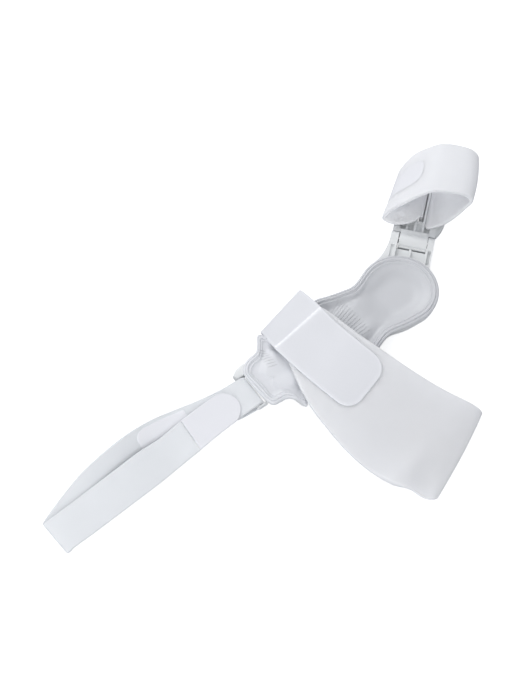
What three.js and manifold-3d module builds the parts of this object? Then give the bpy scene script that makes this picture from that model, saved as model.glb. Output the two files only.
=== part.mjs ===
// Hinged bunion splint: a white moulded shell with a gel liner, a toe arm on a knuckle hinge with a padded
// toe loop, a wide padded foot loop and a narrow heel loop, lying on a table with its gel side up.
// Millimetres, +Z up. The origin lies under the middle of the round cup, on the table. +X runs along the
// splint from its heel end towards the cup.
import * as THREE from 'three';
import { mergeVertices } from 'three/addons/utils/BufferGeometryUtils.js';
import Module from 'manifold-3d';

const wasm = await Module();
wasm.setup();

// Splint shell and liner.
const CUP_RADIUS = 24.3;
const RIM_HEIGHT = 12;
const RIM_DIP = 1.4;
const DIP_MIDDLE = -57.5;
const DIP_REACH = 27;
const SADDLE_LIFT = 3.5;
const LIFT_STARTS = -6;
const LIFT_ENDS = -25;
const SPINE_HEEL_END = -86;
const GAP = 0.3;
const OUTLINE_STEPS = 3;
const CUP_STEPS = 12;

// One half of the splint's rim seen from above, from the middle of its heel end to where the cup begins.
const RIM_HALF = [
  { place: 'heel end middle', x: -98.5, y: 0 },
  { place: 'heel end round', x: -96.6, y: 9.5 },
  { place: 'heel end corner', x: -92.4, y: 14.6 },
  { place: 'waist', x: -86.2, y: 16.3 },
  { place: 'horn flank', x: -81.6, y: 20.6 },
  { place: 'horn tip', x: -78.9, y: 24.6 },
  { place: 'horn inside', x: -76.2, y: 21.4 },
  { place: 'notch heel side', x: -72.4, y: 15.8 },
  { place: 'notch middle', x: -57, y: 14.6 },
  { place: 'notch toe side', x: -44.4, y: 16 },
  { place: 'flare inside', x: -39.6, y: 21.6 },
  { place: 'flare tip', x: -35.4, y: 25.2 },
  { place: 'flare to neck', x: -27, y: 22.6 },
  { place: 'neck', x: -17, y: 20.9 },
];
const CUP_START_DEG = 112;

// Sections from the splint's middle line to its rim. Inset is measured inwards from the rim; a middle point
// lies on the middle line. Height is measured up from the lifted underside, and drop down from the rim.
const SHELL_OUTSIDE = [
  { middle: true, height: 0 },
  { inset: 8.5, height: 0 },
  { inset: 4.4, height: 1.1 },
  { inset: 1.7, height: 3.9 },
  { inset: 0.2, drop: 1.3 },
  { inset: 0.6, drop: 0.2 },
  { inset: 1.2, drop: 0 },
];
const SEAT = [
  { middle: true, height: 1.9 },
  { inset: 9.2, height: 1.9 },
  { inset: 5.9, height: 2.8 },
  { inset: 3.6, height: 5 },
  { inset: 2.5, drop: 1.6 },
  { inset: 2.1, drop: 0 },
];
const LINER_TOP = [
  { inset: 2.9, drop: 0.7 },
  { inset: 3.5, drop: -0.5 },
  { inset: 4.3, drop: -0.3 },
  { inset: 4.7, drop: 0.9 },
  { inset: 5.6, drop: 0.9 },
  { inset: 6.2, drop: 1.9 },
  { inset: 8.2, drop: 4.2 },
  { inset: 12.5, height: 4.9 },
  { middle: true, height: 4.3 },
];
const CUT_ABOVE_RIM = 6;

// Knuckle hinge, in the toe arm's own frame: x along the arm from the hinge axis, y to the left.
const HINGE_TURN_DEG = 41;
const HINGE_DISTANCE = 41;
const HINGE_OFFSET = -1.9;
const HINGE_HEIGHT = 6;
const EAR_RADIUS = 5;
const EAR_INNER = 9;
const EAR_OUTER = 12.8;
const RAIL_TOP = 10.4;
const RAIL_BOTTOM = 1.6;
const RAIL_START = -24;
const EAR_POCKET = { start: -15.5, end: -5.6, width: 1.8, floor: 5.4 };
const WEB = { end: -6.2, top: 4.8, rib: 1.3, ribTop: 9.4 };
const PIN_RADIUS = 1.25;
const PIN_SIDES = 20;
const KNUCKLE_SIDES = 28;

// Heel strap bar, behind the heel end of the shell.
const BAR = { x: -103, height: 6.3, radius: 1.6, lugInner: 10.9, lugOuter: 14.2, lugStart: -94 };
const LUG_RADIUS = 2.5;
const BAR_SIDES = 16;

// Toe arm.
const BARREL_RADIUS = 4.7;
const BARREL_HALF = 8.6;
const ROOT_PLATE = { below: 3.4, above: 2.3 };
const ARM = { root: 6.1, tip: 47, half: 12.4, bottom: 0.2, top: 7, tipRadius: 7 };
const SLOT = { start: 9.2, end: 43.4, width: 3.3, first: 0.7, rib: 1.3, ribBottom: 4.6 };

// Toe loop: a padded band threaded round the arm's right-hand rib.
const TOE_BAND = { thick: 2.2, width: 33, near: 9.8, lean: 0.4, leanFrom: 8, farScale: 0.94 };
const TOE_MIDDLE = -4.65;
// Middle of the band's wall, looking along the arm: across is to the left of the arm.
const TOE_LOOP = [
  { place: 'under the rib', across: -4.65, up: 2.4 },
  { place: 'into left slot', across: -3.1, up: 3.3 },
  { place: 'left slot', across: -2.55, up: 5.2 },
  { place: 'left lip', across: -2.1, up: 7.6 },
  { place: 'over left lip', across: -0.2, up: 9.2 },
  { place: 'left lobe', across: 4.8, up: 10.2 },
  { place: 'left floor', across: 12.5, up: 8.9 },
  { place: 'left turn', across: 18.4, up: 10.2 },
  { place: 'left side', across: 17.6, up: 15.2 },
  { place: 'left shoulder', across: 12.2, up: 22.5 },
  { place: 'crown left', across: 4.2, up: 28.6 },
  { place: 'crown', across: -6, up: 32.4 },
  { place: 'crown right', across: -17, up: 34 },
  { place: 'right shoulder', across: -24.6, up: 33.2 },
  { place: 'right turn', across: -27.7, up: 30.2 },
  { place: 'right side', across: -24.8, up: 23.6 },
  { place: 'right slope', across: -19.2, up: 15.4 },
  { place: 'right lobe', across: -14, up: 10 },
  { place: 'over right lip', across: -9.4, up: 9.1 },
  { place: 'right lip', across: -7.25, up: 7.6 },
  { place: 'right slot', across: -6.75, up: 5.2 },
  { place: 'into right slot', across: -6.2, up: 3.3 },
];
const TOE_TAB = {
  thick: 0.9,
  fromRow: 7.34,
  toRow: 11,
  roundRows: 0.7,
  first: 0.3,
  last: 0.78,
  round: 7,
  steps: 4,
};

// Foot loop: a wide padded band round the splint's saddle. t runs across the splint towards the loop's free
// fold, s along the fold towards the toe.
const FOOT_FRAME = { x: -55, y: 0, turnDeg: -69 };
const FOOT_BAND_THICK = 2.6;
const FOOT_BAND = [
  { place: 'top end', t: -22.5, z: 8.6, heel: -3, toe: 27 },
  { place: 'before ridge', t: -18.4, z: 12, heel: -8, toe: 25.6 },
  { place: 'ridge', t: -13.5, z: 13.7, heel: -13.5, toe: 24 },
  { place: 'over liner', t: 0, z: 14.1, heel: -24, toe: 20.4 },
  { place: 'far rim', t: 15, z: 14.3, heel: -33.6, toe: 18 },
  { place: 'loop start', t: 30, z: 13.8, heel: -38.8, toe: 16.8 },
  { place: 'loop', t: 45, z: 12.2, heel: -43.4, toe: 16 },
  { place: 'loop widest', t: 60, z: 10, heel: -46.4, toe: 16 },
  { place: 'corner dent', t: 74, z: 7.9, heel: -45.8, toe: 17 },
  { place: 'before fold', t: 84, z: 6.2, heel: -42.8, toe: 18.2 },
  { place: 'fold top', t: 91, z: 5.2, heel: -42, toe: 19.2 },
  { place: 'fold', t: 93.4, z: 3.5, heel: -41.5, toe: 19.6 },
  { place: 'fold under', t: 91, z: 1.8, heel: -41.6, toe: 19 },
  { place: 'under loop end', t: 76, z: 1.6, heel: -41.5, toe: 15.5 },
  { place: 'under loop', t: 45, z: 1.6, heel: -37, toe: 13.5 },
  { place: 'under far rim', t: 15, z: 1.6, heel: -25, toe: 14 },
  { place: 'under spine', t: -5, z: 1.6, heel: -17, toe: 17.5 },
  { place: 'under end', t: -20, z: 1.6, heel: -8, toe: 24 },
];
const FOOT_TAB_THICK = 1.3;
const FOOT_TAB_ROUND = 12;
const FOOT_TAB = [
  { place: 'sewn end', t: -20.8, z: 1.2, heel: -8, toe: 24 },
  { place: 'under', t: -27, z: 1.1, heel: -6, toe: 27.4 },
  { place: 'fold under', t: -31.6, z: 1.4, heel: -4.9, toe: 29.6 },
  { place: 'fold', t: -32.7, z: 2.9, heel: -4.6, toe: 30 },
  { place: 'fold top', t: -31.4, z: 4.6, heel: -5.2, toe: 29.4 },
  { place: 'slope', t: -24.2, z: 10.6, heel: -10, toe: 25.8 },
  { place: 'below crease', t: -18.6, z: 14.6, heel: -14, toe: 23 },
  { place: 'crease', t: -13.9, z: 16.2, heel: -16.6, toe: 20.9 },
  { place: 'top', t: 0, z: 16.5, heel: -19.4, toe: 16.6 },
  { place: 'top far rim', t: 15, z: 16.6, heel: -23.4, toe: 13.8 },
  { place: 'end round starts', t: 28.4, z: 16.2, heel: -26.6, toe: 11.4 },
  { place: 'end', t: 40.2, z: 15.1, heel: -29.4, toe: 9.4 },
];

// Heel loop: narrow webbing from the bar, out to a flat fold and back. t runs away from the bar; upY and upZ
// place the strap's edge on the higher side, lowY and lowZ the edge nearer the table.
const HEEL_THICK = 1.5;
const HEEL_STRAP = [
  { place: 'seam', t: 38.2, upY: 8.8, upZ: 9.9, lowY: -10.4, lowZ: 7 },
  { place: 'front', t: 52, upY: 7, upZ: 9.1, lowY: -11.2, lowZ: 4.2 },
  { place: 'front middle', t: 67, upY: 6.4, upZ: 10.4, lowY: -12.3, lowZ: 3 },
  { place: 'front outer', t: 84, upY: 5.4, upZ: 9.4, lowY: -13.4, lowZ: 2.9 },
  { place: 'front flattening', t: 108, upY: 4.2, upZ: 6.6, lowY: -14.9, lowZ: 3 },
  { place: 'fold top', t: 124.4, upY: 3.2, upZ: 5, lowY: -16, lowZ: 3.2 },
  { place: 'fold', t: 126.4, upY: 3.2, upZ: 3.2, lowY: -16, lowZ: 2 },
  { place: 'fold under', t: 124.4, upY: 3.8, upZ: 1.9, lowY: -15.6, lowZ: 1 },
  { place: 'back leaving', t: 110, upY: 9.6, upZ: 4.6, lowY: -9.9, lowZ: 1 },
  { place: 'back rising', t: 98, upY: 12.8, upZ: 9, lowY: -5.4, lowZ: 1.1 },
  { place: 'back steep', t: 82, upY: 15.4, upZ: 13, lowY: -0.6, lowZ: 1.2 },
  { place: 'back steepest', t: 67, upY: 16.4, upZ: 14.8, lowY: 1.9, lowZ: 1.3 },
  { place: 'back falling', t: 52, upY: 17.2, upZ: 13, lowY: 1.4, lowZ: 1.3 },
  { place: 'twist', t: 37, upY: 16.4, upZ: 9.2, lowY: -2.4, lowZ: 2.9 },
  { place: 'root', t: 24, upY: 13.4, upZ: 8.9, lowY: -6.4, lowZ: 6.8 },
  { place: 'root flat', t: 11, upY: 10.9, upZ: 9, lowY: -8.9, lowZ: 8.6 },
];
const HEEL_SEWN_END = [
  { place: 'below root', t: 5, upY: 10, upZ: 4.8, lowY: -10, lowZ: 4.8 },
  { place: 'sewn end', t: 12, upY: 10, upZ: 6.6, lowY: -9.4, lowZ: 6.3 },
];
const STRAP_HALF = 10;
const HEEL_TAB_THICK = 1.3;
const HEEL_TAB_ROUND = 9.4;
const HEEL_TAB = [
  { place: 'seam', t: 37.8, upY: 8.8, upZ: 9.9, lowY: -10.4, lowZ: 7.1 },
  { place: 'middle', t: 26, upY: 9.4, upZ: 10.7, lowY: -9.7, lowZ: 9 },
  { place: 'round starts', t: 16.4, upY: 9.8, upZ: 11, lowY: -9.4, lowZ: 10.2 },
  { place: 'round end', t: 7, upY: 9.8, upZ: 11.2, lowY: -9.2, lowZ: 10.8 },
];
const HEEL_PATCH = { thick: 0.8, fromRow: 11.25, toRow: 12.75, first: 0.08, last: 0.9, gap: 0.4 };

// Faces between two rows of a strap, across a strap, and round a tab's end.
const WIDE_STEPS = 3;
const NARROW_STEPS = 4;
const WIDE_ACROSS = 4;
const NARROW_ACROSS = 2;
const ROUND_STEPS = 6;

const COLOURS = {
  plastic: { color: 0xe4e5e8, roughness: 0.38, metalness: 0 },
  gel: { color: 0xcfd1d6, roughness: 0.3, metalness: 0 },
  band: { color: 0xe8eaee, roughness: 0.9, metalness: 0 },
  tab: { color: 0xf2f3f6, roughness: 0.65, metalness: 0 },
  steel: { color: 0xb4b6ba, roughness: 0.35, metalness: 1 },
};

function radians(degrees) {
  return THREE.MathUtils.degToRad(degrees);
}

// A closed geometry from a list of triangles whose corners are points; corners that coincide are shared.
function geometryFrom(triangles) {
  const positions = triangles.flatMap((corners) => corners.flatMap((corner) => corner.toArray()));
  const loose = new THREE.BufferGeometry();
  loose.setAttribute('position', new THREE.Float32BufferAttribute(positions, 3));
  const merged = mergeVertices(loose, 1e-3);
  const kept = [];
  const index = merged.getIndex().array;
  for (let i = 0; i < index.length; i += 3) {
    const [a, b, c] = [index[i], index[i + 1], index[i + 2]];
    if (a !== b && b !== c && c !== a) kept.push(a, b, c);
  }
  merged.setIndex(kept);
  return merged;
}

// The two triangles of a quad whose corners run anticlockwise seen from outside.
function quad(a, b, c, d) {
  return [[a, b, c], [a, c, d]];
}

// A skin over rows of points, each row a closed ring. The rows either close on each other or get end caps.
function skinOfRings(rings, closed) {
  const triangles = [];
  const size = rings[0].length;
  const last = closed ? rings.length : rings.length - 1;
  for (let i = 0; i < last; i += 1) {
    const ring = rings[i];
    const next = rings[(i + 1) % rings.length];
    for (let j = 0; j < size; j += 1) {
      const k = (j + 1) % size;
      triangles.push(...quad(ring[j], ring[k], next[k], next[j]));
    }
  }
  if (!closed) {
    triangles.push(...cap(rings[0], true), ...cap(rings[rings.length - 1], false));
  }
  return geometryFrom(triangles);
}

// A cap across a ring made of one face's points followed by the other face's in return order.
function cap(ring, atStart) {
  const triangles = [];
  const half = ring.length / 2;
  for (let j = 0; j < half - 1; j += 1) {
    const corners = [ring[j], ring[ring.length - 1 - j], ring[ring.length - 2 - j], ring[j + 1]];
    triangles.push(...quad(...(atStart ? corners : corners.reverse())));
  }
  return triangles;
}

function toManifold(geometry) {
  const plain = geometry.clone();
  plain.deleteAttribute('normal');
  plain.deleteAttribute('uv');
  const merged = mergeVertices(plain, 1e-4);
  return new wasm.Manifold(new wasm.Mesh({
    numProp: 3,
    vertProperties: Float32Array.from(merged.getAttribute('position').array),
    triVerts: Uint32Array.from(merged.getIndex().array),
  }));
}

function fromManifold(solid) {
  const mesh = solid.getMesh();
  const geometry = new THREE.BufferGeometry();
  geometry.setAttribute('position', new THREE.Float32BufferAttribute(mesh.vertProperties, 3));
  geometry.setIndex(Array.from(mesh.triVerts));
  return geometry;
}

// A block between two corners.
function block([x0, x1], [y0, y1], [z0, z1]) {
  const geometry = new THREE.BoxGeometry(x1 - x0, y1 - y0, z1 - z0);
  return geometry.translate((x0 + x1) / 2, (y0 + y1) / 2, (z0 + z1) / 2);
}

// A round rod along y.
function rod(radius, [y0, y1], sides, x, z) {
  return new THREE.CylinderGeometry(radius, radius, y1 - y0, sides).translate(x, (y0 + y1) / 2, z);
}

function named(name, geometry, look) {
  const mesh = new THREE.Mesh(geometry, new THREE.MeshStandardMaterial(COLOURS[look]));
  mesh.geometry.computeVertexNormals();
  mesh.name = name;
  return mesh;
}

// Splint outline and its sections.

// The rim as points with the place on the middle line that each looks back to, once round the splint.
function rimPoints() {
  const start = radians(CUP_START_DEG);
  const joint = new THREE.Vector2(Math.cos(start), Math.sin(start)).multiplyScalar(CUP_RADIUS);
  const side = new THREE.SplineCurve([...RIM_HALF.map(({ x, y }) => new THREE.Vector2(x, y)), joint]);
  const half = side.getPoints(RIM_HALF.length * OUTLINE_STEPS);
  for (let k = 1; k <= CUP_STEPS; k += 1) {
    const angle = start * (1 - k / CUP_STEPS);
    half.push(new THREE.Vector2(Math.cos(angle), Math.sin(angle)).multiplyScalar(CUP_RADIUS));
  }
  const mirrored = half.slice(1, -1).reverse().map(({ x, y }) => new THREE.Vector2(x, -y));
  const middleOf = (rim) => THREE.MathUtils.clamp(rim.x, SPINE_HEEL_END, 0);
  return [...half, ...mirrored].map((rim) => ({ rim, middle: middleOf(rim) }));
}

function lift(middle) {
  return SADDLE_LIFT * THREE.MathUtils.smoothstep(-middle, -LIFT_STARTS, -LIFT_ENDS);
}

// The rim's height, a little lower where the foot band crosses it.
function rimHeight(middle) {
  const share = 1 - THREE.MathUtils.smoothstep(Math.abs(middle - DIP_MIDDLE), DIP_REACH / 2, DIP_REACH);
  return RIM_HEIGHT - RIM_DIP * share;
}

// The point of one section row at one place on the rim.
function sectionPoint({ rim, middle }, row, extra) {
  const spine = new THREE.Vector2(middle, 0);
  const reach = rim.distanceTo(spine);
  const share = row.middle ? 1 : Math.min(row.inset / reach, 1);
  const flat = rim.clone().lerp(spine, share);
  const z = row.drop === undefined ? lift(middle) + row.height : rimHeight(middle) - row.drop;
  return new THREE.Vector3(flat.x, flat.y, z + extra);
}

// A closed form from section rows that run from the middle line below, out to the rim, and back to the middle
// line above.
function formFromSections(rows) {
  const rings = rimPoints().map((place) => rows.map((row) => sectionPoint(place, row, row.extra ?? 0)));
  const triangles = [];
  rings.forEach((ring, i) => {
    const next = rings[(i + 1) % rings.length];
    for (let j = 0; j < rows.length - 1; j += 1) {
      triangles.push(...quad(ring[j], ring[j + 1], next[j + 1], next[j]));
    }
  });
  return geometryFrom(triangles);
}

function hingeFrame() {
  const turn = radians(HINGE_TURN_DEG);
  const along = new THREE.Vector3(Math.cos(turn), Math.sin(turn), 0);
  const left = new THREE.Vector3(-Math.sin(turn), Math.cos(turn), 0);
  const place = along.multiplyScalar(HINGE_DISTANCE).addScaledVector(left, HINGE_OFFSET);
  return new THREE.Matrix4().makeRotationZ(turn).setPosition(place);
}

// Both side rails with their ear knuckles, the web between them and its rib, in the hinge's frame.
function earPieces() {
  const rails = [1, -1].flatMap((side) => {
    const across = [side * EAR_INNER, side * EAR_OUTER].sort((a, b) => a - b);
    return [
      block([RAIL_START, 0], across, [RAIL_BOTTOM, RAIL_TOP]),
      rod(EAR_RADIUS, across, KNUCKLE_SIDES, 0, HINGE_HEIGHT),
    ];
  });
  const web = block([RAIL_START, WEB.end], [-EAR_INNER - 1, EAR_INNER + 1], [RAIL_BOTTOM, WEB.top]);
  const rib = block([RAIL_START, WEB.end], [-WEB.rib / 2, WEB.rib / 2], [RAIL_BOTTOM, WEB.ribTop]);
  return [...rails, web, rib];
}

function earCuts() {
  const pockets = [1, -1].map((side) => {
    const middle = side * (EAR_INNER + EAR_OUTER) / 2;
    const across = [middle - EAR_POCKET.width / 2, middle + EAR_POCKET.width / 2];
    return block([EAR_POCKET.start, EAR_POCKET.end], across, [EAR_POCKET.floor, RAIL_TOP + 1]);
  });
  const bore = rod(PIN_RADIUS + GAP, [-EAR_OUTER - 1, EAR_OUTER + 1], PIN_SIDES, 0, HINGE_HEIGHT);
  return [...pockets, bore];
}

// The two lugs at the heel end and the bar between them that the heel strap goes round.
function barPieces() {
  const lugs = [1, -1].flatMap((side) => {
    const across = [side * BAR.lugInner, side * BAR.lugOuter].sort((a, b) => a - b);
    return [
      block([BAR.x, BAR.lugStart], across, [BAR.height - LUG_RADIUS, BAR.height + LUG_RADIUS]),
      rod(LUG_RADIUS, across, BAR_SIDES, BAR.x, BAR.height),
    ];
  });
  return [...lugs, rod(BAR.radius, [-BAR.lugOuter + 1, BAR.lugOuter - 1], BAR_SIDES, BAR.x, BAR.height)];
}

function splintShell() {
  const rimMiddle = { middle: true, drop: 0 };
  const seatRim = { ...SEAT[SEAT.length - 1], extra: CUT_ABOVE_RIM };
  let solid = toManifold(formFromSections([...SHELL_OUTSIDE, rimMiddle]));
  const seat = toManifold(formFromSections([...SEAT, seatRim, { ...rimMiddle, extra: CUT_ABOVE_RIM }]));
  const frame = hingeFrame();
  earPieces().forEach((piece) => { solid = solid.add(toManifold(piece.applyMatrix4(frame))); });
  barPieces().forEach((piece) => { solid = solid.add(toManifold(piece)); });
  solid = solid.subtract(seat);
  earCuts().forEach((piece) => { solid = solid.subtract(toManifold(piece.applyMatrix4(frame))); });
  return fromManifold(solid);
}

function liner() {
  const bed = SEAT.map((row) => {
    if (row.middle) return { ...row, height: row.height + GAP };
    return { ...row, inset: row.inset + GAP, extra: row.height === undefined ? 0 : GAP };
  });
  return formFromSections([...bed.slice(0, -1), ...LINER_TOP]);
}

// Toe arm, in the hinge's frame.

function toeArm() {
  const plan = new THREE.Shape();
  plan.moveTo(ARM.root, -ARM.half);
  plan.lineTo(ARM.tip - ARM.tipRadius, -ARM.half);
  plan.absarc(ARM.tip - ARM.tipRadius, -ARM.half + ARM.tipRadius, ARM.tipRadius, -Math.PI / 2, 0);
  plan.absarc(ARM.tip - ARM.tipRadius, ARM.half - ARM.tipRadius, ARM.tipRadius, 0, Math.PI / 2);
  plan.lineTo(ARM.root, ARM.half);
  const depth = ARM.top - ARM.bottom;
  const plate = new THREE.ExtrudeGeometry(plan, { depth, bevelEnabled: false, curveSegments: 6 });
  let solid = toManifold(plate.translate(0, 0, ARM.bottom));
  const across = [-BARREL_HALF, BARREL_HALF];
  solid = solid.add(toManifold(rod(BARREL_RADIUS, across, KNUCKLE_SIDES, 0, HINGE_HEIGHT)));
  const rootHeights = [HINGE_HEIGHT - ROOT_PLATE.below, HINGE_HEIGHT + ROOT_PLATE.above];
  solid = solid.add(toManifold(block([0, ARM.root + 1], across, rootHeights)));
  [1, -1].forEach((side) => {
    const first = side * SLOT.first;
    const pitch = side * (SLOT.width + SLOT.rib);
    const lengths = [SLOT.start, SLOT.end];
    [0, 1].forEach((k) => {
      const edges = [first + k * pitch, first + k * pitch + side * SLOT.width].sort((a, b) => a - b);
      solid = solid.subtract(toManifold(block(lengths, edges, [ARM.bottom - 1, ARM.top + 1])));
    });
    const channel = [first, first + pitch + side * SLOT.width].sort((a, b) => a - b);
    solid = solid.subtract(toManifold(block(lengths, channel, [ARM.bottom - 1, SLOT.ribBottom])));
  });
  const bore = rod(PIN_RADIUS + GAP, [-BARREL_HALF - 1, BARREL_HALF + 1], PIN_SIDES, 0, HINGE_HEIGHT);
  return fromManifold(solid.subtract(toManifold(bore)));
}

// Straps: each is a ruled surface between two edge curves, given a wall thickness.

// The two edges of a strap as smooth curves through its rows.
function edgeCurves(rows, low, up, closed) {
  const curve = (pick) => new THREE.CatmullRomCurve3(rows.map(pick), closed, 'centripetal');
  return { low: curve(low), up: curve(up), spans: closed ? rows.length : rows.length - 1 };
}

// The places along a strap, in rows, with the same number of steps between rows.
function evenPlaces(fromRow, toRow, steps) {
  const count = Math.round((toRow - fromRow) * steps);
  return Array.from({ length: count + 1 }, (_, k) => fromRow + (toRow - fromRow) * k / count);
}

// A strap's wall along the given places. The share of its width that each place keeps comes from `share`, and
// `offset` moves the wall off the ruled surface, towards the side that the low edge crossed with the way
// along gives: the open side of the toe loop, and the upper side of the foot and heel straps' top layers.
function strapWall(curves, places, wall) {
  const { thick, offset = 0, across = WIDE_ACROSS, share = () => [0, 1], closed = false } = wall;
  const nudge = 0.02;
  const wrap = (row) => {
    const u = row / curves.spans;
    return closed ? u - Math.floor(u) : THREE.MathUtils.clamp(u, 0, 1);
  };
  const pointAt = (row, v) => curves.low.getPoint(wrap(row)).lerp(curves.up.getPoint(wrap(row)), v);
  const rings = places.map((row) => {
    const [first, last] = share(row);
    const faces = { outer: [], inner: [] };
    for (let j = 0; j <= across; j += 1) {
      const v = first + (last - first) * j / across;
      const along = pointAt(row + nudge, v).sub(pointAt(row - nudge, v));
      const over = pointAt(row, 1).sub(pointAt(row, 0));
      const side = over.cross(along).normalize();
      faces.outer.push(pointAt(row, v).addScaledVector(side, offset + thick / 2));
      faces.inner.unshift(pointAt(row, v).addScaledVector(side, offset - thick / 2));
    }
    return [...faces.outer, ...faces.inner];
  });
  return skinOfRings(rings, closed);
}

// The places of a rounded end, closer together where it curves most.
function roundPlaces(start, rows) {
  const stepTurn = Math.PI / 2 / ROUND_STEPS;
  return Array.from({ length: ROUND_STEPS }, (_, k) => start + rows * Math.sin((k + 1) * stepTurn));
}

// Places and width shares for a strap whose last span is a rounded end.
function roundedEnd(curves, radius, steps) {
  const start = curves.spans - 1;
  const places = [...evenPlaces(0, start, steps), ...roundPlaces(start, 1)];
  const width = curves.low.getPoint(1).distanceTo(curves.up.getPoint(1));
  const share = (row) => {
    const past = Math.max(row - start, 0);
    const inset = radius * (1 - Math.sqrt(Math.max(1 - past * past, 0))) / width;
    return [inset, 1 - inset];
  };
  return { places, share };
}

function toeBandCurves() {
  const edge = (far) => ({ across, up }) => {
    const leaned = TOE_BAND.near + TOE_BAND.lean * Math.max(up - TOE_BAND.leanFrom, 0);
    const x = leaned + (far ? TOE_BAND.width : 0);
    const taper = far && up > ARM.top + TOE_BAND.thick ? TOE_BAND.farScale : 1;
    return new THREE.Vector3(x, TOE_MIDDLE + (across - TOE_MIDDLE) * taper, up);
  };
  return edgeCurves(TOE_LOOP, edge(false), edge(true), true);
}

function toeBand() {
  const places = evenPlaces(0, TOE_LOOP.length, WIDE_STEPS).slice(0, -1);
  return strapWall(toeBandCurves(), places, { thick: TOE_BAND.thick, closed: true });
}

// The thin hook tab on the outside of the toe band, round at its end on the crown.
function toeTab() {
  const { fromRow, toRow, roundRows, first, last, round, thick, steps } = TOE_TAB;
  const roundStart = toRow - roundRows;
  const places = [...evenPlaces(fromRow, roundStart, steps), ...roundPlaces(roundStart, roundRows)];
  const share = (row) => {
    const past = Math.max(row - roundStart, 0) / roundRows;
    const inset = round * (1 - Math.sqrt(Math.max(1 - past * past, 0))) / TOE_BAND.width;
    return [first + inset, last - inset];
  };
  const offset = -((TOE_BAND.thick + thick) / 2 + GAP);
  return strapWall(toeBandCurves(), places, { thick, offset, share, closed: false });
}

function footCurves(rows) {
  const edge = (column) => ({ t, z, ...sides }) => new THREE.Vector3(t, sides[column], z);
  return edgeCurves(rows, edge('heel'), edge('toe'), false);
}

function footBand() {
  const curves = footCurves(FOOT_BAND);
  return strapWall(curves, evenPlaces(0, curves.spans, WIDE_STEPS), { thick: FOOT_BAND_THICK });
}

function footTab() {
  const curves = footCurves(FOOT_TAB);
  const { places, share } = roundedEnd(curves, FOOT_TAB_ROUND, WIDE_STEPS);
  return strapWall(curves, places, { thick: FOOT_TAB_THICK, share });
}

function heelCurves(rows) {
  const low = ({ t, lowY, lowZ }) => new THREE.Vector3(BAR.x - t, lowY, lowZ);
  const up = ({ t, upY, upZ }) => new THREE.Vector3(BAR.x - t, upY, upZ);
  return edgeCurves(rows, low, up, false);
}

// The strap's rows where it turns round the bar, from on top of it to below it.
function barTurn() {
  const radius = BAR.radius + GAP + HEEL_THICK / 2;
  return [90, 45, 0, -45, -90].map((degrees) => {
    const height = BAR.height + radius * Math.sin(radians(degrees));
    const t = -radius * Math.cos(radians(degrees));
    return { t, upY: STRAP_HALF, upZ: height, lowY: -STRAP_HALF, lowZ: height };
  });
}

function heelStrap() {
  const curves = heelCurves([...HEEL_STRAP, ...barTurn(), ...HEEL_SEWN_END]);
  const places = evenPlaces(0, curves.spans, NARROW_STEPS);
  return strapWall(curves, places, { thick: HEEL_THICK, across: NARROW_ACROSS });
}

function heelTab() {
  const curves = heelCurves(HEEL_TAB);
  const { places, share } = roundedEnd(curves, HEEL_TAB_ROUND, WIDE_STEPS);
  return strapWall(curves, places, { thick: HEEL_TAB_THICK, share, across: NARROW_ACROSS });
}

function heelPatch() {
  const { thick, fromRow, toRow, first, last, gap } = HEEL_PATCH;
  const offset = -((HEEL_THICK + thick) / 2 + gap);
  const places = evenPlaces(fromRow, toRow, NARROW_STEPS);
  const share = () => [first, last];
  return strapWall(heelCurves(HEEL_STRAP), places, { thick, offset, across: NARROW_ACROSS, share });
}

// Assembly.

const toeGroup = new THREE.Group();
toeGroup.applyMatrix4(hingeFrame());
const pinGeometry = rod(PIN_RADIUS, [-EAR_OUTER + GAP, EAR_OUTER - GAP], PIN_SIDES, 0, HINGE_HEIGHT);
toeGroup.add(
  named('toe_arm', toeArm(), 'plastic'),
  named('hinge_pin', pinGeometry, 'steel'),
  named('toe_band', toeBand(), 'band'),
  named('toe_tab', toeTab(), 'tab'),
);

const footGroup = new THREE.Group();
footGroup.position.set(FOOT_FRAME.x, FOOT_FRAME.y, 0);
footGroup.rotation.z = radians(FOOT_FRAME.turnDeg);
footGroup.add(named('foot_band', footBand(), 'band'), named('foot_tab', footTab(), 'tab'));

const splint = new THREE.Group();
splint.add(
  named('splint_shell', splintShell(), 'plastic'),
  named('liner', liner(), 'gel'),
  toeGroup,
  footGroup,
  named('heel_strap', heelStrap(), 'band'),
  named('heel_tab', heelTab(), 'tab'),
  named('heel_patch', heelPatch(), 'tab'),
);

export default splint;
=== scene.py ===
"""Looks of a hinged bunion splint that lies on a pale floor with its gel side up.

Tables hold millimetres in the part's own frame, with +X along the splint towards its round cup
and +Z up from the floor. Meshes are made in metres.
"""

import logging
import math
from dataclasses import dataclass, replace
from enum import Enum
from typing import Any, Callable, Sequence

import bmesh
import bpy
import numpy as np
from mathutils import Matrix, Vector
from mathutils.bvhtree import BVHTree


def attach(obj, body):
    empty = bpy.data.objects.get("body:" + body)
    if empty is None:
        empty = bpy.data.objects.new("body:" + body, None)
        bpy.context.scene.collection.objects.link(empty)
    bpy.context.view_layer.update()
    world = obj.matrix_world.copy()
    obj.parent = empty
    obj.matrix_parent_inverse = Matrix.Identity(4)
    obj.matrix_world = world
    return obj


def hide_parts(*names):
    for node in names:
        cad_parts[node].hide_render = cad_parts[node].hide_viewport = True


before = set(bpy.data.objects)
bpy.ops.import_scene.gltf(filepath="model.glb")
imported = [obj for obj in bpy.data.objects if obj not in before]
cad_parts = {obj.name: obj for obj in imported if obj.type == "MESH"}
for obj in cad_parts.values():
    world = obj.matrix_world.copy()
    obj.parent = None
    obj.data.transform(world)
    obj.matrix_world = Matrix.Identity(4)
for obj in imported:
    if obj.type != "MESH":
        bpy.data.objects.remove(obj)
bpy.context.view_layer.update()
LOG = logging.getLogger("splint")
MM = 0.001
Grid = np.ndarray


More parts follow.
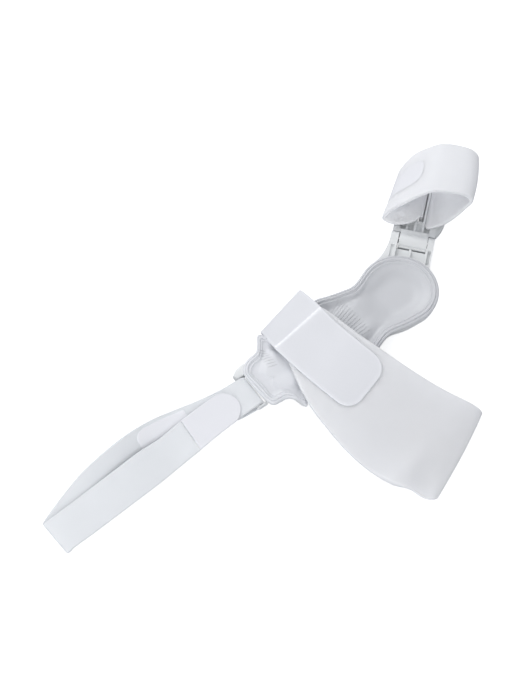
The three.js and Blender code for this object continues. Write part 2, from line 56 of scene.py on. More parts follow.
class Body(Enum):
    """The two bodies that the hinge joins."""

    SPLINT = "splint"
    TOE = "toe"


class Slot(Enum):
    """The record's material slots."""

    PLASTIC = "white_plastic"
    GEL = "gel"
    STEEL = "pin_steel"
    PADDED = "padded_fabric"
    TAPE = "hook_tab"
    WEBBING = "webbing"


class Axis(Enum):
    """The way along which an outline is drawn out into a solid, with the outline's own two axes."""

    Y = (0, 2, 1)
    Z = (0, 1, 2)


class Operation(Enum):
    """What a solid does to the one that it is combined with."""

    JOIN = "UNION"
    CUT = "DIFFERENCE"


# Curves and grids


def catmull_rom(points: Grid, places: Grid, closed: bool = False) -> Grid:
    """Smooth curve through points, at the even pace that keeps it from looping.

    Args:
        points: Corner points, one a row.
        places: Where to read the curve, counted in points.
        closed: Whether the last point joins the first.

    Returns:
        One point of the curve for each place.
    """
    count = len(points)
    if closed:
        base = np.floor(places).astype(int)
        ends = [points[(base + k) % count] for k in (-1, 0, 1, 2)]
    else:
        base = np.clip(np.floor(places).astype(int), 0, count - 2)
        longer = np.vstack([2 * points[0] - points[1], points, 2 * points[-1] - points[-2]])
        ends = [longer[base + k] for k in range(4)]
    share = (places - base)[:, None]
    paces = [np.linalg.norm(ends[k + 1] - ends[k], axis=1)[:, None] ** 0.5 + 1e-9 for k in range(3)]
    p0, p1, p2, p3 = ends
    d0, d1, d2 = paces
    leave = d1 * ((p1 - p0) / d0 - (p2 - p0) / (d0 + d1) + (p2 - p1) / d1)
    reach = d1 * ((p2 - p1) / d1 - (p3 - p1) / (d1 + d2) + (p3 - p2) / d2)
    square = -3 * p1 + 3 * p2 - 2 * leave - reach
    cube = 2 * p1 - 2 * p2 + leave + reach
    return p1 + share * (leave + share * (square + share * cube))


def corner_cut(grid: Grid, rounds: int) -> Grid:
    """Rounds the corners of every row of a grid, and keeps its two ends.

    Args:
        grid: Points as (places, rows, 3).
        rounds: How often the corners are cut.

    Returns:
        The longer, rounder grid.
    """
    for _ in range(rounds):
        near = 0.75 * grid[:, :-1] + 0.25 * grid[:, 1:]
        far = 0.25 * grid[:, :-1] + 0.75 * grid[:, 1:]
        cut = np.stack([near, far], axis=2).reshape(len(grid), -1, 3)
        grid = np.concatenate([grid[:, :1], cut[:, 1:-1], grid[:, -1:]], axis=1)
    return grid


def ease(low: float, high: float, value: Grid) -> Grid:
    """Smooth rise from 0 at low to 1 at high."""
    share = np.clip((value - low) / (high - low), 0, 1)
    return share * share * (3 - 2 * share)


def hump(value: Grid, middle: float, reach: float) -> Grid:
    """Bell of height 1 round a middle value."""
    return np.exp(-(((value - middle) / reach) ** 2))


def humps(value: Grid, bells: Sequence[tuple[float, float, float]]) -> Grid:
    """Sum of bells, each given as its middle, reach and height."""
    return sum(height * hump(value, middle, reach) for middle, reach, height in bells)


# Shares of an edge's width at which its rounding is cut.
EDGE_STEPS = np.array([0.0, 0.04, 0.15, 0.34, 0.62, 1.0])


def stops(total: float, spacing: float, edge: float) -> Grid:
    """Places along a length, closer together where both ends round over.

    Args:
        total: The length.
        spacing: The most that two places lie apart.
        edge: How far in the rounding of an end reaches.

    Returns:
        Places from 0 to total.
    """
    count = max(int(math.ceil((total - 2 * edge) / spacing)), 1)
    inner = np.linspace(edge, total - edge, count + 1)[1:-1]
    return np.concatenate([edge * EDGE_STEPS, inner, total - edge * EDGE_STEPS[::-1]])


def rotation_z(degrees: float, x: float, y: float) -> Matrix:
    """Turn about the upright and a move, in millimetres."""
    return Matrix.Translation((x, y, 0.0)) @ Matrix.Rotation(math.radians(degrees), 4, "Z")


# Meshes

# Points this close are one: of a grid, of solids before they are rounded, and of a finished moulding.
GRID_REACH = 0.002
WELD_REACH = 0.01
MOULD_REACH = 0.02
# Edges of a moulding that are sharper than this, in degrees, stay sharp.
CREASE = 32.0


def mesh_object(
    name: str, points: Sequence, faces: Sequence, frame_of: Matrix | None = None
) -> bpy.types.Object:
    """Object from points in millimetres, placed by its own vertices.

    Args:
        name: The object's name.
        points: Vertices in millimetres in a local frame.
        faces: Corner numbers of each face.
        frame_of: The local frame, or none for the part's own.

    Returns:
        The linked object, smooth shaded.
    """
    mesh = bpy.data.meshes.new(name)
    mesh.from_pydata([tuple(point) for point in points], [], [tuple(face) for face in faces])
    mesh.transform(Matrix.Scale(MM, 4) @ (frame_of or Matrix.Identity(4)))
    mesh.polygons.foreach_set("use_smooth", [True] * len(mesh.polygons))
    mesh.update()
    made = bpy.data.objects.new(name, mesh)
    bpy.context.scene.collection.objects.link(made)
    return made


def line_object(name: str, points: Sequence, edges: Sequence) -> bpy.types.Object:
    """Object that holds lines alone.

    Args:
        name: The object's name.
        points: Points in millimetres in the part's own frame.
        edges: The two point numbers of each line.

    Returns:
        The linked object.
    """
    lines = mesh_object(name, [], [])
    lines.data.from_pydata([tuple(point * MM) for point in points], edges, [])
    return lines


def bake(piece: bpy.types.Object) -> bpy.types.Object:
    """Turns a piece's modifiers into its plain mesh.

    Args:
        piece: The piece.

    Returns:
        The piece without modifiers.
    """
    graph = bpy.context.evaluated_depsgraph_get()
    mesh = bpy.data.meshes.new_from_object(piece.evaluated_get(graph))
    piece.modifiers.clear()
    piece.data = mesh
    return piece


def combine(
    base: bpy.types.Object, others: Sequence[bpy.types.Object], operation: Operation
) -> bpy.types.Object:
    """Joins solids to a base or cuts them from it, and removes them.

    Args:
        base: The solid that stays.
        others: Solids that are used up.
        operation: Whether they join it or are cut from it.

    Returns:
        The base with its new mesh.
    """
    for other in others:
        cut = base.modifiers.new(other.name, "BOOLEAN")
        cut.operation = operation.value
        cut.solver = "EXACT"
        cut.object = other
    bake(base)
    for other in others:
        bpy.data.objects.remove(other)
    return base


def soften(
    piece: bpy.types.Object, width: float, steps: int = 2, angle: float = 38.0
) -> bpy.types.Object:
    """Rounds the sharp edges of a moulded solid.

    Args:
        piece: The solid.
        width: Width of the rounding in millimetres.
        steps: Faces across the rounding.
        angle: Edges sharper than this, in degrees, are rounded.

    Returns:
        The piece with its new mesh.
    """
    weld = piece.modifiers.new("weld", "WELD")
    weld.merge_threshold = WELD_REACH * MM
    bevel = piece.modifiers.new("bevel", "BEVEL")
    bevel.width = width * MM
    bevel.segments = steps
    bevel.limit_method = "ANGLE"
    bevel.angle_limit = math.radians(angle)
    bevel.miter_outer = "MITER_ARC"
    return bake(piece)


def shade(piece: bpy.types.Object, angle: float = CREASE) -> None:
    """Shades a piece smooth apart from edges sharper than an angle in degrees.

    Args:
        piece: The piece.
        angle: The angle in degrees.
    """
    form = bmesh.new()
    form.from_mesh(piece.data)
    for face in form.faces:
        face.smooth = True
    for edge in form.edges:
        edge.smooth = edge.is_manifold and edge.calc_face_angle() < math.radians(angle)
    form.to_mesh(piece.data)
    form.free()


def close_up(piece: bpy.types.Object, reach: float = GRID_REACH) -> bpy.types.Object:
    """Merges points that coincide, drops faces without area and points all faces outwards.

    Args:
        piece: The piece.
        reach: How far apart, in millimetres, points may lie that are merged.

    Returns:
        The piece with its new mesh.
    """
    form = bmesh.new()
    form.from_mesh(piece.data)
    bmesh.ops.remove_doubles(form, verts=form.verts, dist=reach * MM)
    bmesh.ops.dissolve_degenerate(form, edges=form.edges, dist=reach / 2 * MM)
    bmesh.ops.recalc_face_normals(form, faces=form.faces)
    form.to_mesh(piece.data)
    form.free()
    return piece


def prism(
    name: str, outline: Sequence, span: tuple[float, float], axis: Axis, frame_of: Matrix
) -> bpy.types.Object:
    """Solid drawn out from an outline.

    Args:
        name: The object's name.
        outline: Corners of the outline in millimetres.
        span: Where the solid starts and ends along the axis.
        axis: The way along which it is drawn out.
        frame_of: The local frame.

    Returns:
        The closed solid.
    """
    first, second, along = axis.value
    count = len(outline)
    points = np.zeros((2 * count, 3))
    for end, level in enumerate(span):
        rows = slice(end * count, (end + 1) * count)
        points[rows, first] = [corner[0] for corner in outline]
        points[rows, second] = [corner[1] for corner in outline]
        points[rows, along] = level
    sides = [(k, (k + 1) % count, count + (k + 1) % count, count + k) for k in range(count)]
    caps = [tuple(range(count)), tuple(range(2 * count - 1, count - 1, -1))]
    return close_up(mesh_object(name, points, [*sides, *caps], frame_of))


def block(name: str, x: tuple, y: tuple, z: tuple, frame_of: Matrix) -> bpy.types.Object:
    """Block between two corners, given as its span along each axis."""
    outline = [(x[0], y[0]), (x[1], y[0]), (x[1], y[1]), (x[0], y[1])]
    return prism(name, outline, z, Axis.Z, frame_of)


def arc(middle: tuple, radius: float, start: float, end: float, steps: int) -> list:
    """Points of an arc between two angles in degrees, both ends included."""
    turns = [math.radians(start + (end - start) * k / steps) for k in range(steps + 1)]
    return [(middle[0] + radius * math.cos(turn), middle[1] + radius * math.sin(turn)) for turn in turns]


def bend(start: tuple, corner: tuple, end: tuple, steps: int) -> list:
    """Curve that leaves its start towards a corner and arrives at its end from that corner.

    Args:
        start: Its first point.
        corner: The corner that it rounds.
        end: Its last point.
        steps: How many steps it has.

    Returns:
        Its points, both ends included.
    """
    curve = []
    for k in range(steps + 1):
        share = k / steps
        weights = ((1 - share) ** 2, 2 * share * (1 - share), share**2)
        curve.append(tuple(sum(w * p[i] for w, p in zip(weights, (start, corner, end))) for i in range(2)))
    return curve


def circle(middle: tuple, radius: float, sides: int) -> list:
    """Corners of a full circle."""
    return arc(middle, radius, 0, 360 - 360 / sides, sides - 1)


def rod(
    name: str, radius: float, y: tuple, middle: tuple, frame_of: Matrix, sides: int = 48
) -> bpy.types.Object:
    """Round rod along y about a middle given as (x, z)."""
    return prism(name, circle(middle, radius, sides), y, Axis.Y, frame_of)


def dress(piece: bpy.types.Object, material: bpy.types.Material) -> None:
    """Gives a piece one material alone."""
    piece.data.materials.clear()
    piece.data.materials.append(material)


def mark_points(piece: bpy.types.Object, name: str, values: Grid) -> None:
    """Writes one value for each point of a piece under a name that its finish reads."""
    mark = piece.data.attributes.new(name, "FLOAT", "POINT")
    mark.data.foreach_set("value", values.astype(np.float32))


def settle(piece: bpy.types.Object, body: Body, slot: Slot, *nodes: str) -> bpy.types.Object:
    """Puts a finished piece on its body in place of the solids that it stands for.

    Args:
        piece: The finished piece.
        body: The body that it moves with.
        slot: The record's material slot; not used.
        nodes: The solids that it stands for.

    Returns:
        The piece.
    """
    if nodes:
        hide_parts(*nodes)
    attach(piece, body.value)
    LOG.info("%s: %d faces on %s", piece.name, len(piece.data.polygons), body.value)
    return piece


# Finishes


class NodePad:
    """Adds nodes to one tree and links them."""

    def __init__(self, tree: bpy.types.NodeTree) -> None:
        """Keeps the tree."""
        self.tree = tree

    def add(self, kind: str, inputs: dict[Any, Any] | None = None, **settings: Any) -> bpy.types.Node:
        """Adds one node.

        Args:
            kind: The node's type name.
            inputs: Values or sockets for its inputs, by name or number.
            settings: The node's own properties.

        Returns:
            The node.
        """
        node = self.tree.nodes.new(kind)
        for name, value in settings.items():
            setattr(node, name, value)
        for socket, value in (inputs or {}).items():
            if isinstance(value, bpy.types.NodeSocket):
                self.tree.links.new(value, node.inputs[socket])
            else:
                node.inputs[socket].default_value = value
        return node

    def math(self, operation: str, first: Any, second: Any = 0.0) -> bpy.types.NodeSocket:
        """Result of one sum on values or sockets."""
        return self.add("ShaderNodeMath", {0: first, 1: second}, operation=operation).outputs[0]


def shader_group(
    name: str, inputs: dict[str, str], outputs: dict[str, str]
) -> tuple[NodePad, Any, Any]:
    """Empty shader group with named sockets.

    Args:
        name: The group's name.
        inputs: Socket types by input name.
        outputs: Socket types by output name.

    Returns:
        The pad of its tree, its input node and its output node.
    """
    tree = bpy.data.node_groups.new(name, "ShaderNodeTree")
    for way, sockets in (("INPUT", inputs), ("OUTPUT", outputs)):
        for socket, kind in sockets.items():
            tree.interface.new_socket(socket, in_out=way, socket_type=kind)
    pad = NodePad(tree)
    return pad, pad.add("NodeGroupInput").outputs, pad.add("NodeGroupOutput").inputs


class Effects:
    """Surface effects that several finishes share, each built once as a shader group."""

    VECTOR = "NodeSocketVector"
    VALUE = "NodeSocketFloat"
    # Knit: how far a loop leans, its share of the relief, the fuzz, and how relief turns into painted shade,
    # darker in the hollows of the loops.
    LOOP_LEAN = 1.3
    LOOP_SHARE = 0.5
    FUZZ_SCALE = 2600.0
    MIDDLE_HEIGHT = 0.3
    TONE_SHARE = 0.04
    # Moulded skin: how much larger flow marks are than grain, their share of the relief and of the gloss.
    FLOW_SCALE = 0.06
    FLOW_SHARE = 0.6
    FLOW_GLOSS = 0.16

    def __init__(self) -> None:
        """Builds the groups."""
        self.mottle = self._mottle()
        self.knit = self._knit()
        self.grain = self._grain()

    def _mottle(self) -> bpy.types.NodeTree:
        """Slow light and dark clouds: Tone swings about 1 by Spread.

        Returns:
            The group.
        """
        pad, given, result = shader_group(
            "soft_mottle",
            {"Position": self.VECTOR, "Cloud Size": self.VALUE, "Spread": self.VALUE},
            {"Tone": self.VALUE},
        )
        scale = pad.math("DIVIDE", 1.0, given["Cloud Size"])
        cloud = {"Vector": given["Position"], "Scale": scale, "Detail": 2.0}
        noise = pad.add("ShaderNodeTexNoise", cloud)
        centred = pad.math("SUBTRACT", noise.outputs["Fac"], 0.5)
        swing = pad.math("MULTIPLY", centred, given["Spread"])
        pad.tree.links.new(pad.math("ADD", swing, 1.0), result["Tone"])
        return pad.tree

    def _knit(self) -> bpy.types.NodeTree:
        """Fine loops of a knit or weave, laid along the cloth's own run and width.

        Returns:
            The group.
        """
        pad, given, result = shader_group(
            "knit_relief",
            {"Cloth": self.VECTOR, "Wale": self.VALUE, "Course": self.VALUE, "Fuzz": self.VALUE},
            {"Height": self.VALUE, "Tone": self.VALUE},
        )
        parts = pad.add("ShaderNodeSeparateXYZ", {"Vector": given["Cloth"]}).outputs
        turn = 2 * math.pi
        run = pad.math("MULTIPLY", pad.math("DIVIDE", parts["X"], given["Course"]), turn)
        across = pad.math("MULTIPLY", pad.math("DIVIDE", parts["Y"], given["Wale"]), turn)
        lean = pad.math("ADD", run, pad.math("MULTIPLY", pad.math("SINE", across), self.LOOP_LEAN))
        loops = pad.math("MULTIPLY", pad.math("SINE", lean), pad.math("COSINE", across))
        hairs = {"Vector": given["Cloth"], "Scale": self.FUZZ_SCALE, "Detail": 3.0}
        fuzz = pad.add("ShaderNodeTexNoise", hairs)
        rough = pad.math("MULTIPLY", fuzz.outputs["Fac"], given["Fuzz"])
        height = pad.math("ADD", pad.math("MULTIPLY", loops, self.LOOP_SHARE), rough)
        pad.tree.links.new(height, result["Height"])
        # Tone from the relief: painted shade that darkens the low parts of the loops.
        shaded = pad.math("MULTIPLY", pad.math("SUBTRACT", height, self.MIDDLE_HEIGHT), self.TONE_SHARE)
        pad.tree.links.new(pad.math("ADD", shaded, 1.0), result["Tone"])
        return pad.tree

    def _grain(self) -> bpy.types.NodeTree:
        """Skin of a moulding: fine grain and slow flow marks, with uneven gloss.

        Returns:
            The group.
        """
        pad, given, result = shader_group(
            "moulded_grain",
            {"Position": self.VECTOR, "Grain Size": self.VALUE, "Gloss": self.VALUE},
            {"Height": self.VALUE, "Roughness": self.VALUE},
        )
        scale = pad.math("DIVIDE", 1.0, given["Grain Size"])
        grain = {"Vector": given["Position"], "Scale": scale, "Detail": 4.0}
        fine = pad.add("ShaderNodeTexNoise", grain)
        marks = {"Vector": given["Position"], "Scale": pad.math("MULTIPLY", scale, self.FLOW_SCALE)}
        flow = pad.add("ShaderNodeTexNoise", {**marks, "Detail": 1.0})
        slow = pad.math("MULTIPLY", flow.outputs["Fac"], self.FLOW_SHARE)
        pad.tree.links.new(pad.math("ADD", fine.outputs["Fac"], slow), result["Height"])
        uneven = pad.math("MULTIPLY", pad.math("SUBTRACT", flow.outputs["Fac"], 0.5), self.FLOW_GLOSS)
        pad.tree.links.new(pad.math("ADD", uneven, given["Gloss"]), result["Roughness"])
        return pad.tree


def use_group(pad: NodePad, tree: bpy.types.NodeTree, given: dict[str, Any]) -> Any:
    """Places a shared effect in a material with its own values, and gives its outputs."""
    return pad.add("ShaderNodeGroup", given, node_tree=tree).outputs


@dataclass(frozen=True)
class Finish:
    """What every surface has: a name, a colour, a shine, its slow clouds and how light goes into it."""

    name: str
    colour: tuple[float, float, float]
    roughness: float
    cloud_size: float = 0.02
    cloud_spread: float = 0.05
    coat: float = 0.0
    depth: float = 0.0

    COAT_ROUGHNESS = 0.2
    # How far light wanders below the surface, in metres.
    WANDER = 0.002

    def start(self) -> tuple[bpy.types.Material, NodePad, bpy.types.Node]:
        """Makes an empty material with its shader.

        Returns:
            The material, the pad of its tree and its Principled shader.
        """
        made = bpy.data.materials.new(self.name)
        made.use_nodes = True
        made.node_tree.nodes.clear()
        pad = NodePad(made.node_tree)
        shader = pad.add("ShaderNodeBsdfPrincipled", {"Roughness": self.roughness})
        pad.add("ShaderNodeOutputMaterial", {"Surface": shader.outputs[0]})
        made.diffuse_color = (*self.colour, 1.0)
        return made, pad, shader

    def clouds(self, pad: NodePad, effects: Effects) -> tuple[bpy.types.NodeSocket, bpy.types.NodeSocket]:
        """Slow clouds over the piece.

        Args:
            pad: The material's pad.
            effects: The shared effects.

        Returns:
            The socket of the piece's own place, and that of the clouds' tone.
        """
        place = pad.add("ShaderNodeTexCoord").outputs["Object"]
        given = {"Position": place, "Cloud Size": self.cloud_size, "Spread": self.cloud_spread}
        return place, use_group(pad, effects.mottle, given)["Tone"]

    def marked(self, pad: NodePad, mark: str, tone: float) -> bpy.types.NodeSocket:
        """Tone that goes from 1 to the given one where a piece's mark goes from 0 to 1."""
        share = pad.add("ShaderNodeAttribute", None, attribute_name=mark).outputs["Fac"]
        return pad.math("ADD", 1.0, pad.math("MULTIPLY", share, tone - 1.0))

    def colour_by(self, pad: NodePad, shader: bpy.types.Node, tone: bpy.types.NodeSocket) -> None:
        """Gives a shader this colour times a tone."""
        scaled = pad.add("ShaderNodeVectorMath", {0: self.colour, "Scale": tone}, operation="SCALE")
        pad.tree.links.new(scaled.outputs[0], shader.inputs["Base Color"])

    def raise_by(
        self, pad: NodePad, shader: bpy.types.Node, height: bpy.types.NodeSocket, relief: float
    ) -> None:
        """Gives a shader a relief in metres."""
        bump = pad.add("ShaderNodeBump", {"Height": height, "Distance": relief, "Strength": 1.0})
        pad.tree.links.new(bump.outputs[0], shader.inputs["Normal"])

    def light_up(self, shader: bpy.types.Node) -> None:
        """Sets the coat and how light wanders under the surface.

        Args:
            shader: The surface's shader.
        """
        shader.inputs["Coat Weight"].default_value = self.coat
        shader.inputs["Coat Roughness"].default_value = self.COAT_ROUGHNESS
        shader.inputs["Subsurface Weight"].default_value = self.depth
        shader.inputs["Subsurface Radius"].default_value = (1.0, 1.0, 1.0)
        shader.inputs["Subsurface Scale"].default_value = self.WANDER


@dataclass(frozen=True)
class MouldedFinish(Finish):
    """Moulded plastic, gel or steel."""

    grain_size: float = 0.0006
    relief: float = 0.00003
    thin_tone: float = 1.0

    def material(self, effects: Effects) -> bpy.types.Material:
        """Builds the material.

        Args:
            effects: The shared effects.

        Returns:
            The material.
        """
        made, pad, shader = self.start()
        place, tone = self.clouds(pad, effects)
        thin = self.marked(pad, GelLiner.THIN_NAME, self.thin_tone)
        self.colour_by(pad, shader, pad.math("MULTIPLY", tone, thin))
        grain = {"Position": place, "Grain Size": self.grain_size, "Gloss": self.roughness}
        skin = use_group(pad, effects.grain, grain)
        pad.tree.links.new(skin["Roughness"], shader.inputs["Roughness"])
        self.raise_by(pad, shader, skin["Height"], self.relief)
        self.light_up(shader)
        return made


@dataclass(frozen=True)
class ClothFinish(Finish):
    """Knit, webbing or pressed tape, laid along the strap's own run and width."""

    wale: float = 0.0008
    course: float = 0.0007
    fuzz: float = 0.6
    relief: float = 0.00006
    sheen: float = 0.2
    # Tone of the cut edges: below 1 it is painted shade along the edges, above 1 a paler pressed border on
    # the tapes.
    edge_shade_and_border_tone: float = 0.9
    # Tone of a loop's inside face: painted light, brighter than its outside.
    inner_light_tone: float = 1.0

    SHEEN_ROUGHNESS = 0.5
    WANDER = 0.006

    def material(self, effects: Effects) -> bpy.types.Material:
        """Builds the material.

        Args:
            effects: The shared effects.

        Returns:
            The material.
        """
        made, pad, shader = self.start()
        tone = self.clouds(pad, effects)[1]
        cloth = pad.add("ShaderNodeUVMap", None, uv_map=StrapWall.UV_NAME).outputs["UV"]
        loops = {"Cloth": cloth, "Wale": self.wale, "Course": self.course, "Fuzz": self.fuzz}
        knit = use_group(pad, effects.knit, loops)
        # Cut edges: painted shade where the tone is below 1, a paler pressed border where it is above 1.
        edge = self.marked(pad, StrapWall.EDGE_NAME, self.edge_shade_and_border_tone)
        # Inside face of a loop: painted light that brightens it.
        painted_inner_light = self.marked(pad, StrapWall.INNER_LIGHT_NAME, self.inner_light_tone)
        # Slow clouds times the knit's painted shade in its hollows.
        clouds_and_knit_shade = pad.math("MULTIPLY", tone, knit["Tone"])
        self.colour_by(pad, shader, pad.math("MULTIPLY", clouds_and_knit_shade, pad.math("MULTIPLY", edge, painted_inner_light)))
        self.raise_by(pad, shader, knit["Height"], self.relief)
        shader.inputs["Sheen Weight"].default_value = self.sheen
        shader.inputs["Sheen Roughness"].default_value = self.SHEEN_ROUGHNESS
        self.light_up(shader)
        return made


@dataclass(frozen=True)
class Wardrobe:
    """All the materials of the splint."""

    plastic: bpy.types.Material
    gel: bpy.types.Material
    steel: bpy.types.Material
    padded: bpy.types.Material
    tape: bpy.types.Material
    soft_tape: bpy.types.Material
    pile_with_painted_light: bpy.types.Material
    webbing: bpy.types.Material
    thread: bpy.types.Material

    @classmethod
    def make(cls) -> "Wardrobe":
        """Builds every finish once.

        Returns:
            The finishes as materials.
        """
        effects = Effects()
        fine_tape = {"wale": 0.0009, "course": 0.0009, "relief": 0.00003}
        finishes = {
            "plastic": MouldedFinish("white_plastic", (0.80, 0.815, 0.82), 0.36, coat=0.1),
            "gel": MouldedFinish(
                "gel",
                (0.63, 0.64, 0.665),
                0.46,
                grain_size=0.004,
                relief=0.00004,
                coat=0.08,
                depth=0.25,
                thin_tone=1.22,
            ),
            "steel": MouldedFinish("pin_steel", (0.5, 0.51, 0.53), 0.35),
            # Padded knit: its cut edges are darkened by painted shade, and the toe loop's inside is
            # lightened by painted light.
            "padded": ClothFinish(
                "padded_knit", (0.84, 0.85, 0.883), 0.85, edge_shade_and_border_tone=0.88, depth=0.8, inner_light_tone=1.13
            ),
            "tape": ClothFinish(
                "pressed_tape",
                (0.805, 0.815, 0.85),
                0.28,
                wale=0.0011,
                course=0.0011,
                relief=0.00001,
                sheen=0.1,
                edge_shade_and_border_tone=1.09,
                coat=0.38,
            ),
            "soft_tape": ClothFinish("soft_tape", (0.825, 0.832, 0.87), 0.6, edge_shade_and_border_tone=1.02, **fine_tape),
            # The patch's pile: a pale loop fabric, made paler still by painted light that makes up for the
            # shade it gets inside the heel loop.
            "pile_with_painted_light": ClothFinish("loop_pile_with_painted_light", (0.915, 0.922, 0.955), 0.7, edge_shade_and_border_tone=1.0, **fine_tape),
            "webbing": ClothFinish(
                "loop_webbing",
                (0.855, 0.877, 0.902),
                0.8,
                wale=0.0006,
                course=0.0012,
                fuzz=0.9,
                relief=0.0001,
            ),
            "thread": ClothFinish("white_thread", (0.74, 0.75, 0.77), 0.6, wale=0.0003, course=0.0003),
        }
        return cls(**{name: finish.material(effects) for name, finish in finishes.items()})


# Straps


@dataclass
class WallPlaces:
    """Where the points of a strap's wall lie, as grids of (along, across)."""

    row: Grid
    run: Grid
    across: Grid
    margin: Grid
    middle: Grid


def level(places: WallPlaces) -> Grid:
    """No relief at all."""
    return np.zeros_like(places.across)


@dataclass
class StrapWall:
    """Wall of a strap between two smooth edges, with rounded cut edges and its own cloth coordinates."""

    name: str
    low: Grid
    up: Grid
    thickness: float
    edge: float
    closed: bool = False
    start_edge: float | None = None
    first_row: float = 0.0
    last_row: float | None = None
    low_share: float = 0.0
    up_share: float = 1.0
    offset: float = 0.0
    end_round: float = 0.0
    spacing: float = 1.0
    mark_width: float | None = None
    inner_lit: bool = False
    bed: Callable[[WallPlaces], Grid] = level
    swell: Callable[[WallPlaces], Grid] = level
    crown: Callable[[WallPlaces], Grid] = level

    UV_NAME = "cloth"
    EDGE_NAME = "cut_edge"
    INNER_LIGHT_NAME = "painted_inner_light"
    NUDGE = 0.02
    FINE = 1600

    def points(self, rows: Grid, shares: Grid) -> Grid:
        """Points of the middle surface.

        Args:
            rows: Rows of the edge tables, fractions between them included.
            shares: Shares of the width, a line of them for each row.

        Returns:
            One point for each share.
        """
        low = catmull_rom(self.low, rows, self.closed)[:, None]
        up = catmull_rom(self.up, rows, self.closed)[:, None]
        return low + (up - low) * shares[..., None]

    def sides(self, rows: Grid, shares: Grid) -> Grid:
        """Unit normals of the middle surface.

        Args:
            rows: As for points.
            shares: As for points.

        Returns:
            One normal for each share.
        """
        along = self.points(rows + self.NUDGE, shares) - self.points(rows - self.NUDGE, shares)
        over = self.points(rows, np.ones_like(shares)) - self.points(rows, np.zeros_like(shares))
        side = np.cross(over, along)
        return side / np.linalg.norm(side, axis=-1, keepdims=True)

    def stations(self) -> tuple[Grid, Grid, float]:
        """Rows at which the wall is cut.

        Returns:
            The rows, how far along each lies, and the whole length.
        """
        last = self.last_row
        if last is None:
            last = float(len(self.low) if self.closed else len(self.low) - 1)
        fine = np.linspace(self.first_row, last, self.FINE)
        line = self.points(fine, np.full((self.FINE, 1), 0.5))[:, 0]
        run = np.concatenate([[0.0], np.cumsum(np.linalg.norm(np.diff(line, axis=0), axis=1))])
        if self.closed:
            count = int(run[-1] / self.spacing)
            marks = np.linspace(0, run[-1], count, endpoint=False)
        else:
            marks = stops(run[-1], self.spacing, self.edge)
            marks[: len(EDGE_STEPS)] *= self._start_share
        return np.interp(marks, run, fine), marks, float(run[-1])

    @property
    def _start_share(self) -> float:
        """How much shorter the rounding of the first end is than that of the sides."""
        return 1.0 if self.start_edge is None else self.start_edge / self.edge

    def lay_out(self) -> tuple[WallPlaces, Grid, float]:
        """Works out where every point of the wall lies.

        Returns:
            The places, the surface normals and the whole length.
        """
        rows, marks, total = self.stations()
        ends = self.points(rows, np.array([[0.0, 1.0]] * len(rows)))
        width = np.linalg.norm(ends[:, 1] - ends[:, 0], axis=1)
        to_tip = np.zeros_like(marks)
        if self.end_round:
            to_tip = np.maximum(self.end_round - (total - marks), 0)
        inset = self.end_round - np.sqrt(np.maximum(self.end_round**2 - to_tip**2, 0))
        start, end = self.low_share * width + inset, self.up_share * width - inset
        count = len(stops(float(np.max(end - start)), self.spacing, self.edge)) - 2 * len(EDGE_STEPS)
        share = np.linspace(0, 1, count + 2)[1:-1]
        lows = start[:, None] + self.edge * EDGE_STEPS
        ups = end[:, None] - self.edge * EDGE_STEPS[::-1]
        inner = lows[:, -1:] + (ups[:, :1] - lows[:, -1:]) * share
        across = np.concatenate([lows, inner, ups], axis=1)
        shares = across / width[:, None]
        places = WallPlaces(
            row=np.broadcast_to(rows[:, None], across.shape),
            run=np.broadcast_to(marks[:, None], across.shape),
            across=across - self.low_share * width[:, None],
            margin=np.zeros_like(across),
            middle=self.points(rows, shares),
        )
        full = ((self.up_share - self.low_share) * width)[:, None]
        places.margin = self._margin(places, full, total)
        return places, self.sides(rows, shares), total

    def _margin(self, places: WallPlaces, full: Grid, total: float) -> Grid:
        """Distance of every point to the wall's outline.

        Args:
            places: Where the points lie.
            full: The wall's width at each station.
            total: The whole length.

        Returns:
            One distance for each point.
        """
        nearest = np.minimum(places.across, full - places.across)
        if self.closed:
            return np.maximum(nearest, 0)
        tip = total - places.run
        margin = np.minimum(np.minimum(nearest, tip), places.run / self._start_share)
        radius = self.end_round
        corner = np.hypot(radius - tip, radius - nearest)
        rounded = (tip < radius) & (nearest < radius)
        return np.maximum(np.where(rounded, np.minimum(radius - corner, margin), margin), 0)

    def build(self, material: bpy.types.Material, frame_of: Matrix | None = None) -> bpy.types.Object:
        """Makes the wall's closed mesh.

        Args:
            material: Its finish.
            frame_of: The frame of its edge points, or none for the part's own.

        Returns:
            The piece, with cloth coordinates and a mark on its cut edges.
        """
        places, sides, total = self.lay_out()
        depth = np.clip(places.margin / self.edge, 0, 1)
        half = self.thickness / 2 * np.sqrt(np.maximum(1 - (1 - depth) ** 2, 0))
        aside = self.offset + self.bed(places) + self.swell(places) * depth
        centre = places.middle + sides * aside[..., None]
        lifted = half + self.crown(places) * depth
        count, width = half.shape
        outer = (centre + sides * lifted[..., None]).reshape(-1, 3)
        inner = (centre - sides * half[..., None]).reshape(-1, 3)
        number = np.arange(count * width).reshape(count, width)
        below = number + count * width
        below[:, [0, -1]] = number[:, [0, -1]]
        if not self.closed:
            below[[0, -1]] = number[[0, -1]]
        piece, faces = self._skin(np.vstack([outer, inner]), number, below, frame_of)
        self._cloth(piece, places, faces, total)
        # Mark on the cut edges, which the cloth finishes darken as painted shade or lighten as a tape's
        # pressed border.
        marks = 1 - np.clip(places.margin / (self.mark_width or self.edge), 0, 1)
        mark_points(piece, self.EDGE_NAME, np.concatenate([marks.ravel()] * 2))
        # The loop's inside face gets 1, so that its finish brightens it as painted light.
        if self.inner_lit:
            mark_points(piece, self.INNER_LIGHT_NAME, np.repeat([1.0, 0.0], number.size))
        self._drop_loose(piece)
        piece.data.materials.append(material)
        return piece

